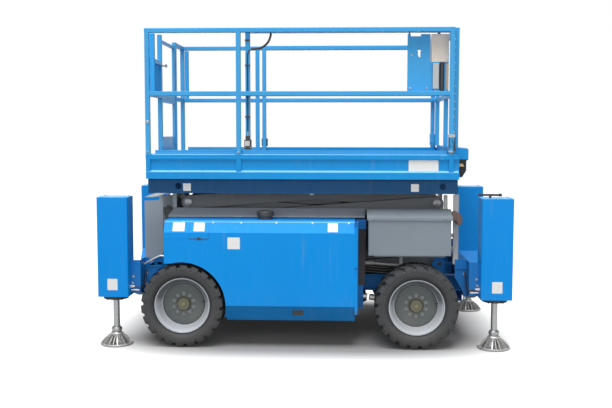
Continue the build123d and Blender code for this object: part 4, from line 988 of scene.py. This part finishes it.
# ---- platform --------------------------------------------------------------
REAR_POST_X, POSTS_X = -1.2305, (-1.2305, -0.512, 1.1485)
RAIL_FACE_Y = 0.77
FOLD_PIN = ((0, 0), (0.0125, 0), (0.0125, 0.0025), (0.0085, 0.005), (0.0085, 0.0085), (0.006, 0.011), (0, 0.011))
WEB_LIPS = (
    # start and end ahead of the deck's rear edge, (distance out, height) outline
    (0, 2.452, ((0.7541, 1.3835), (0.7695, 1.3835), (0.7695, 1.387), (0.7541, 1.3985))),
    (0.02, 2.43, ((0.754, 1.5215), (0.769, 1.5215), (0.767, 1.525), (0.756, 1.525))),
)


def deck_fittings():
    """Web lips in a pale blue that paints their highlight, deck tread, corner infill, and the posts' sockets, pins,
    sleeves, eyelets, lanyards and latches.
    """
    sockets, pins, lips, sleeve, eyes, lanyards = (Piece() for k in range(6))
    for side, name in SIDES:
        for x in POSTS_X:
            half = 0.018 if x == REAR_POST_X else 0.0185
            sockets.block((x - half, side * 0.7503, 1.3832), (x + half, side * 0.769, 1.4858))
            pins.bar((x, side * 0.769, 1.545), (x, side * 0.779, 1.545), 0.007)
        pins.turned(FOLD_PIN, ((REAR_POST_X, side * RAIL_FACE_Y, 1.78), (0, side, 0)), 18)
        for x in (-1.07, -0.8):
            for z in (1.402, 1.462):
                sockets.bolt((x, side * 0.754, z), (0, side, 0), 0.006)
        for start, end, outline in WEB_LIPS:
            lips.slab(outline, start, end, across(-1.244, side))
        x, y = POSTS_X[2], side * 0.7515
        sleeve.slab([(x + sx * 0.0235, y + sy * 0.0225) for sx, sy in ((1, 1), (-1, 1), (-1, -1), (1, -1))],
                    1.596, 1.682, Matrix())
        sleeve.bar((x, y + side * 0.0225, 1.64), (x, y + side * 0.033, 1.64), 0.006)
        for k in range(14):
            eyes.turned(((0.0026, 0), (0.0052, 0), (0.0046, 0.0012), (0.0026, 0.0012)),
                        ((1.173, side * 0.719, 2.42 - 0.06 * k), (0, side, 0)), 12, closed=True)
        lanyards.hose([(x, side * y, z) for x, y, z in (
            (1.156, 0.784, 1.64), (1.166, 0.785, 1.6), (1.16, 0.783, 1.545), (1.15, 0.778, 1.53))], 0.0022, 6)
    # The lips take the pale blue as a painted highlight.
    lips.on("web_lips", "platform", "edge blue")
    sockets.on("post_sockets", "platform", "deck blue", bevel=0.003)
    pins.on("post_pins", "platform", "zinc")
    sleeve.on("post_sleeves", "platform", "rail blue", bevel=0.002)
    eyes.on("post_eyelets", "extension", "bright rod")
    lanyards.on("pin_lanyards", "platform", "hose rubber")
    for name, body, x, z, length, width in (("fixed_deck_tread", "platform", -0.855, 1.4201, 0.778, 1.44),
                                            ("extension_tread", "extension", 0.36, 1.4381, 1.63, 1.34)):
        Piece().plate((x, 0, z), (1, 0, 0), (0, 1, 0), length, width, 0.0012, 0.006).on(name, body, "deck tread")
    corner = Piece().both(((-1.205, 0.736, 2.019), (-1.171, 0.768, 2.466)))
    corner.block((-1.2274, -0.73, 1.996), (-1.2266, -0.3, 2.26))
    corner.on("corner_infill", "platform", "infill blue", bevel=0.002)
    clamps = Piece().both(((1.124, 0.769, 1.66), (1.173, 0.78, 1.683)), ((1.124, 0.769, 1.545), (1.169, 0.778, 1.556)))
    clamps.on("post_clamps", "platform", "light grey", bevel=0.001)
    latches = Piece().both(((1.17, 0.756, 1.55), (1.179, 0.779, 1.658)), ((1.126, 0.774, 1.58), (1.133, 0.78, 1.656)))
    latches.on("post_latches", "platform", "black plastic", bevel=0.001)


def gate_fittings():
    """Gate latch with its knob, and the hinges' springs."""
    y, z = -0.235, 2.255
    latch = Piece().block((-1.2485, y - 0.014, z - 0.04), (-1.2405, y + 0.014, z + 0.04))
    latch.bar((-1.2205, y, z), (-1.195, y, z), 0.006)
    latch.turned(((0, 0), (0.012, 0.002), (0.015, 0.01), (0.012, 0.018), (0, 0.02)),
                 ((-1.195, y, z), (1, 0, 0)), 20)
    latch.on("gate_latch", "gate", "zinc", bevel=0.001)
    spring = Piece()
    for z in (1.64, 2.36):
        for k in range(6):
            spring.turned(((0.0092, 0), (0.0106, 0.001), (0.0106, 0.003), (0.0092, 0.004)),
                          at(REAR_POST_X, 0.331, z - 0.024 + 0.008 * k), 20, closed=True)
    spring.on("gate_hinge_springs", "gate", "zinc")


LIP_END = ((1.196, 1.49), (1.2835, 1.487), (1.269, 1.477), (1.269, 1.401), (1.238, 1.351), (1.221, 1.351),
           (1.221, 1.427), (1.196, 1.427))
CONDUIT = ((-0.337, -0.706, 2.358), (-0.286, -0.702, 2.398), (-0.264, -0.7015, 2.448))
LATCH_X = -0.443
RAIL_FEET = (
    # x, height, reach forward
    (LATCH_X, 1.4382, 0.03),
    (1.1875, 1.5751, 0.026),
)


def extension_fittings(side, name):
    """Dark sheet on the lip's end that paints the shade inside it, with its block, slide latch and rail feet on one
    side of the roll-out deck.
    """
    # The black sheet paints the shade inside the lip's open end.
    Piece().slab(LIP_END, 0, 0.002, upright(side, 0.7241)).on("lip_end_shade_sheet_" + name, "extension", "black paint")
    block = Piece().slab(((1.205, 1.432), (1.256, 1.432), (1.24, 1.456), (1.205, 1.45)), 0, 0.009,
                         upright(side, 0.7262))
    block.on("slide_block_" + name, "extension", "tan wood", bevel=0.002)
    latch = Piece(side).block((-0.472, 0.7202, 1.566), (-0.413, 0.73, 1.64))
    latch.block((-0.462, 0.7202, 1.64), (-0.424, 0.729, 1.67))
    latch.on("slide_latch_" + name, "extension", "black plastic", bevel=0.003)
    face = Piece(side).block((-0.468, 0.7302, 1.59), (-0.428, 0.733, 1.63))
    face.on("slide_latch_face_" + name, "extension", "zinc", bevel=0.002)
    bits = Piece(side).bar((LATCH_X, 0.725, 1.67), (LATCH_X, 0.725, 1.706), 0.0052)
    for x in (-0.464, -0.422):
        bits.bolt((x, 0.73, 1.58), (0, 1, 0), 0.004, False)
    bits.on("slide_latch_pins_" + name, "extension", "zinc")
    feet = Piece(side)
    for x, z, reach in RAIL_FEET:
        feet.block((x - 0.03, 0.6715, z), (x + reach, 0.7185, z + 0.006))
    feet.on("rail_feet_" + name, "extension", "rail blue", bevel=0.001)


def conduit():
    """The control line up the post at the slide latch to the top rail, with its sleeve and clips."""
    x = LATCH_X
    rise = ((x, -0.7255, 1.7), (x, -0.7258, 1.9), (x, -0.7258, 2.15), (-0.442, -0.7255, 2.3), (-0.416, -0.718, 2.344))
    line = Piece().hose(rise + CONDUIT + ((-0.262, -0.7015, 2.475),), 0.0048)
    line.on("control_conduit", "extension", "hose rubber")
    sleeve = Piece().hose(((-0.41, -0.715, 2.347),) + CONDUIT + ((-0.262, -0.7015, 2.472),), 0.009)
    for z in (2.415, 2.22, 1.99, 1.82):
        sleeve.block((-0.464, -0.721, z - 0.006), (-0.422, -0.7315, z + 0.006))
    sleeve.on("conduit_sleeve", "extension", "black plastic", bevel=0.001)


BOOT = ((0.0205, -0.045), (0.023, -0.04), (0.0215, -0.03), (0.0195, -0.024), (0.0205, -0.019), (0.0175, -0.013),
        (0.0185, -0.008), (0.015, 0), (0.007, 0.004), (0, 0.004))
STICK = ((0, 0), (0.006, 0), (0.006, 0.012), (0.011, 0.018), (0.0125, 0.03), (0.011, 0.044), (0, 0.048))
STOP = ((0, 0), (0.009, 0), (0.009, 0.008), (0.0165, 0.01), (0.0165, 0.016), (0.012, 0.021), (0, 0.023))
BUTTON = ((0, 0), (0.0075, 0), (0.007, 0.006), (0.005, 0.008), (0, 0.008))
CABLE_START = (1.06, -0.61, 2.248)


def control_station():
    """Sloped panel with its switches and joystick, cable, and the holders below the box."""
    (x0, back, _), (x1, front, _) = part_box("control_box")
    top_z, face_z, slope = 2.462, 2.4, 0.04
    up = Vector((0, back + slope - front, top_z - face_z)).normalized()
    out = Vector((0, up.z, -up.y))
    middle = Vector(((x0 + x1) / 2, (back + slope + front) / 2, (top_z + face_z) / 2))
    panel = Piece().plate(middle, (-1, 0, 0), up, 0.118, 0.112, 0.0015, 0.006)
    panel.on("control_panel", "extension", "black plastic")

    def on_panel(dx, dy):
        return facing(middle + Vector((dx, 0, 0)) + up * dy + out * 0.0015, out)

    knobs = Piece()
    for dx, dy in ((-0.045, 0.035), (-0.022, 0.035), (-0.045, 0.008), (-0.022, 0.008), (-0.045, -0.02)):
        knobs.turned(BUTTON, on_panel(dx, dy), 20)
    knobs.on("control_buttons", "extension", "zinc")
    Piece().turned(STOP, on_panel(-0.035, -0.04), 28).on("stop_button", "extension", "signal red")
    place = at(1.06, (back + front) / 2 + 0.018, 2.4545)
    Piece().turned(BOOT, place, 28).turned(STICK, place).on("joystick", "extension", "black plastic")
    screws, bolts = Piece(), Piece()
    for x in (x0 + 0.01, x1 - 0.01):
        for z in (2.262, 2.386):
            screws.bolt((x, front, z), (0, 1, 0), 0.0035, False)
    screws.on("box_screws", "extension", "zinc")
    holder = Piece().block((1.004, -0.715, 2.036), (1.05, -0.6832, 2.234))
    holder.on("manual_box", "extension", "light grey", bevel=0.004)
    tube = Piece().bar((1.076, -0.7, 2.02), (1.076, -0.7, 2.244), 0.018, 24, 0.2)
    tube.on("cable_sleeve", "extension", "black plastic")
    strip = Piece().block((1.108, -0.706, 2.03), (1.126, -0.696, 2.23))
    strip.on("tan_strip", "extension", "tan wood", bevel=0.002)
    Piece().hose((CABLE_START, (1.06, -0.61, 2.21), (1.05, -0.63, 2.12), (1.02, -0.665, 2.07),
                  (0.96, -0.672, 2.11), (0.9, -0.672, 2.26), (0.84, -0.673, 2.41), (0.82, -0.676, 2.472)),
                 0.006).on("control_cable", "extension", "hose rubber")
    Piece().turned(((0.0062, 0), (0.013, 0), (0.013, 0.01), (0.009, 0.022), (0.0062, 0.03)),
                   facing(CABLE_START, (0, 0, -1)), 20).on("cable_gland", "extension", "black plastic")
    for x, z in ((0.84, 2.3), (0.83, 2.045), (0.96, 2.045)):
        bolts.bolt((x, -0.6826, z), (0, -1, 0), 0.0055)
    bolts.on("mount_bolts", "extension", "zinc")


def fittings():
    for end_name, x in (("front", FRONT_AXLE_X), ("rear", REAR_AXLE_X)):
        for side, name in SIDES[::-1]:
            wheel(end_name + "_" + name, x, side)
    labels()
    for side, name in SIDES:
        for fit in (cover_fittings, module_inside, gap_fittings, tank_fittings, extension_fittings):
            fit(side, name)
        for end, end_name in ((1, "front"), (-1, "rear")):
            for fit in (jack_fittings, beam_fittings):
                fit(end, side, end_name + "_" + name)
    for fit in (rear_fittings, axle_fittings, stack_fittings, deck_fittings, gate_fittings, conduit, control_station):
        fit()


# ---- light, floor and camera -----------------------------------------------
EYE, LENS_MM, SENSOR_MM = (0.3262, -7.661, 1.7001), 51.79, 36
EYE_DOWN, EYE_ROLL, EYE_ROUND = 4.67, -0.0535, 2.561       # in degrees
SKY_LEVEL = 0.3
GLOW_REACH = {"X": 1.72, "Y": 1.25}      # how far the floor's own light stays faint, along and across the machine; the darker patch inside is a painted shadow
FLOOR_SEEN, FLOOR_HIDDEN = (0.3, 0.3, 0.303, 1), (0.06, 0.06, 0.06, 1)
FLOOR_CORNERS = ((-30, -14, 0), (30, -14, 0), (30, 46, 0), (-30, 46, 0))
LAMPS = (
    # name, direction from the machine, distance, width, height, power
    ("overhead lamp", (-0.1, -0.32, 0.95), 16.0, 11.4, 11.4, 3130),
    ("front lamp", (0.05, -1.0, 0.17), 9.0, 18.0, 4.4, 500),
    ("back lamp", (0.0, 1.0, 0.25), 9.0, 12.0, 4.4, 130),
    ("left lamp", (-1.0, -0.3, 0.15), 9.0, 7.0, 4.4, 90),
    ("right lamp", (1.0, -0.3, 0.15), 9.0, 7.0, 4.4, 90),
)


def place_item(name, data, spot=(0, 0, 0), turn=(0, 0, 0)):
    item = bpy.data.objects.new(name, data)
    item.location, item.rotation_euler = spot, turn
    bpy.context.collection.objects.link(item)
    return item


def surroundings():
    """White where the camera looks past the machine, and an even, weaker sky for the light."""
    world = bpy.data.worlds.new("studio")
    world.use_nodes = True
    bpy.context.scene.world = world
    sky = Tree(world.node_tree)
    rays = sky.add("LightPath")
    direct = sky.maths("MAXIMUM", rays["Is Camera Ray"], rays["Is Transmission Ray"])
    sky.fill(world.node_tree.nodes["Background"],
             {"Strength": sky.maths("MAXIMUM", direct, SKY_LEVEL), "Color": (1, 1, 1, 1)})


def lamps():
    """Broad soft lamps aimed at the middle of the machine."""
    for name, way, far, width, height, power in LAMPS:
        lamp = bpy.data.lights.new(name, "AREA")
        lamp.shape = "RECTANGLE"
        lamp.size, lamp.size_y, lamp.energy = width, height, power
        turn = (-Vector(way)).to_track_quat("-Z", "Y").to_euler()
        place_item(name, lamp, Vector((0, 0, 1.0)) + Vector(way).normalized() * far, turn)


def studio_floor():
    """Pale floor that glows to white away from the machine, leaving a painted shadow near it, and is clear from below.
    """
    m = Material("studio floor")
    rays = m.add("LightPath")
    seen = m.maths("MAXIMUM", rays["Is Camera Ray"], rays["Is Glossy Ray"])
    seen = m.maths("MAXIMUM", seen, rays["Is Transmission Ray"])
    axes = m.split(m.place)
    away = [m.maths("POWER", m.maths("ABSOLUTE", m.maths("DIVIDE", axes[axis], reach)), 4)
            for axis, reach in GLOW_REACH.items()]
    # No glow near the machine and full glow away from it: the darker patch left round the machine is a painted shadow.
    glow = m.spread(m.plus(*away), 0.3, 1.1)
    clear_below = m.less(1.0, m.add("NewGeometry")["Backfacing"])
    floor = bpy.data.meshes.new("floor")
    floor.from_pydata(FLOOR_CORNERS, [], [(0, 1, 2, 3)])
    floor.materials.append(m.done(
        Base_Color=m.mix(seen, FLOOR_HIDDEN, m.drift(FLOOR_SEEN, 0.4, 0.004)), Roughness=0.9, Specular_IOR_Level=0.1,
        Emission_Color=(1, 1, 1, 1), Emission_Strength=m.mul(seen, glow), Alpha=clear_below))
    place_item("floor", floor)


def camera():
    """Eye-level view of the right side, from slightly ahead of the middle."""
    lens = bpy.data.cameras.new("camera")
    lens.lens, lens.sensor_width = LENS_MM, SENSOR_MM
    turn = [radians(a) for a in (90 - EYE_DOWN, EYE_ROLL, EYE_ROUND)]
    bpy.context.scene.camera = place_item("camera", lens, EYE, turn)


bpy.context.scene.view_settings.view_transform = "Standard"
camera()
surroundings()
lamps()
studio_floor()
finish_nodes()
fittings()
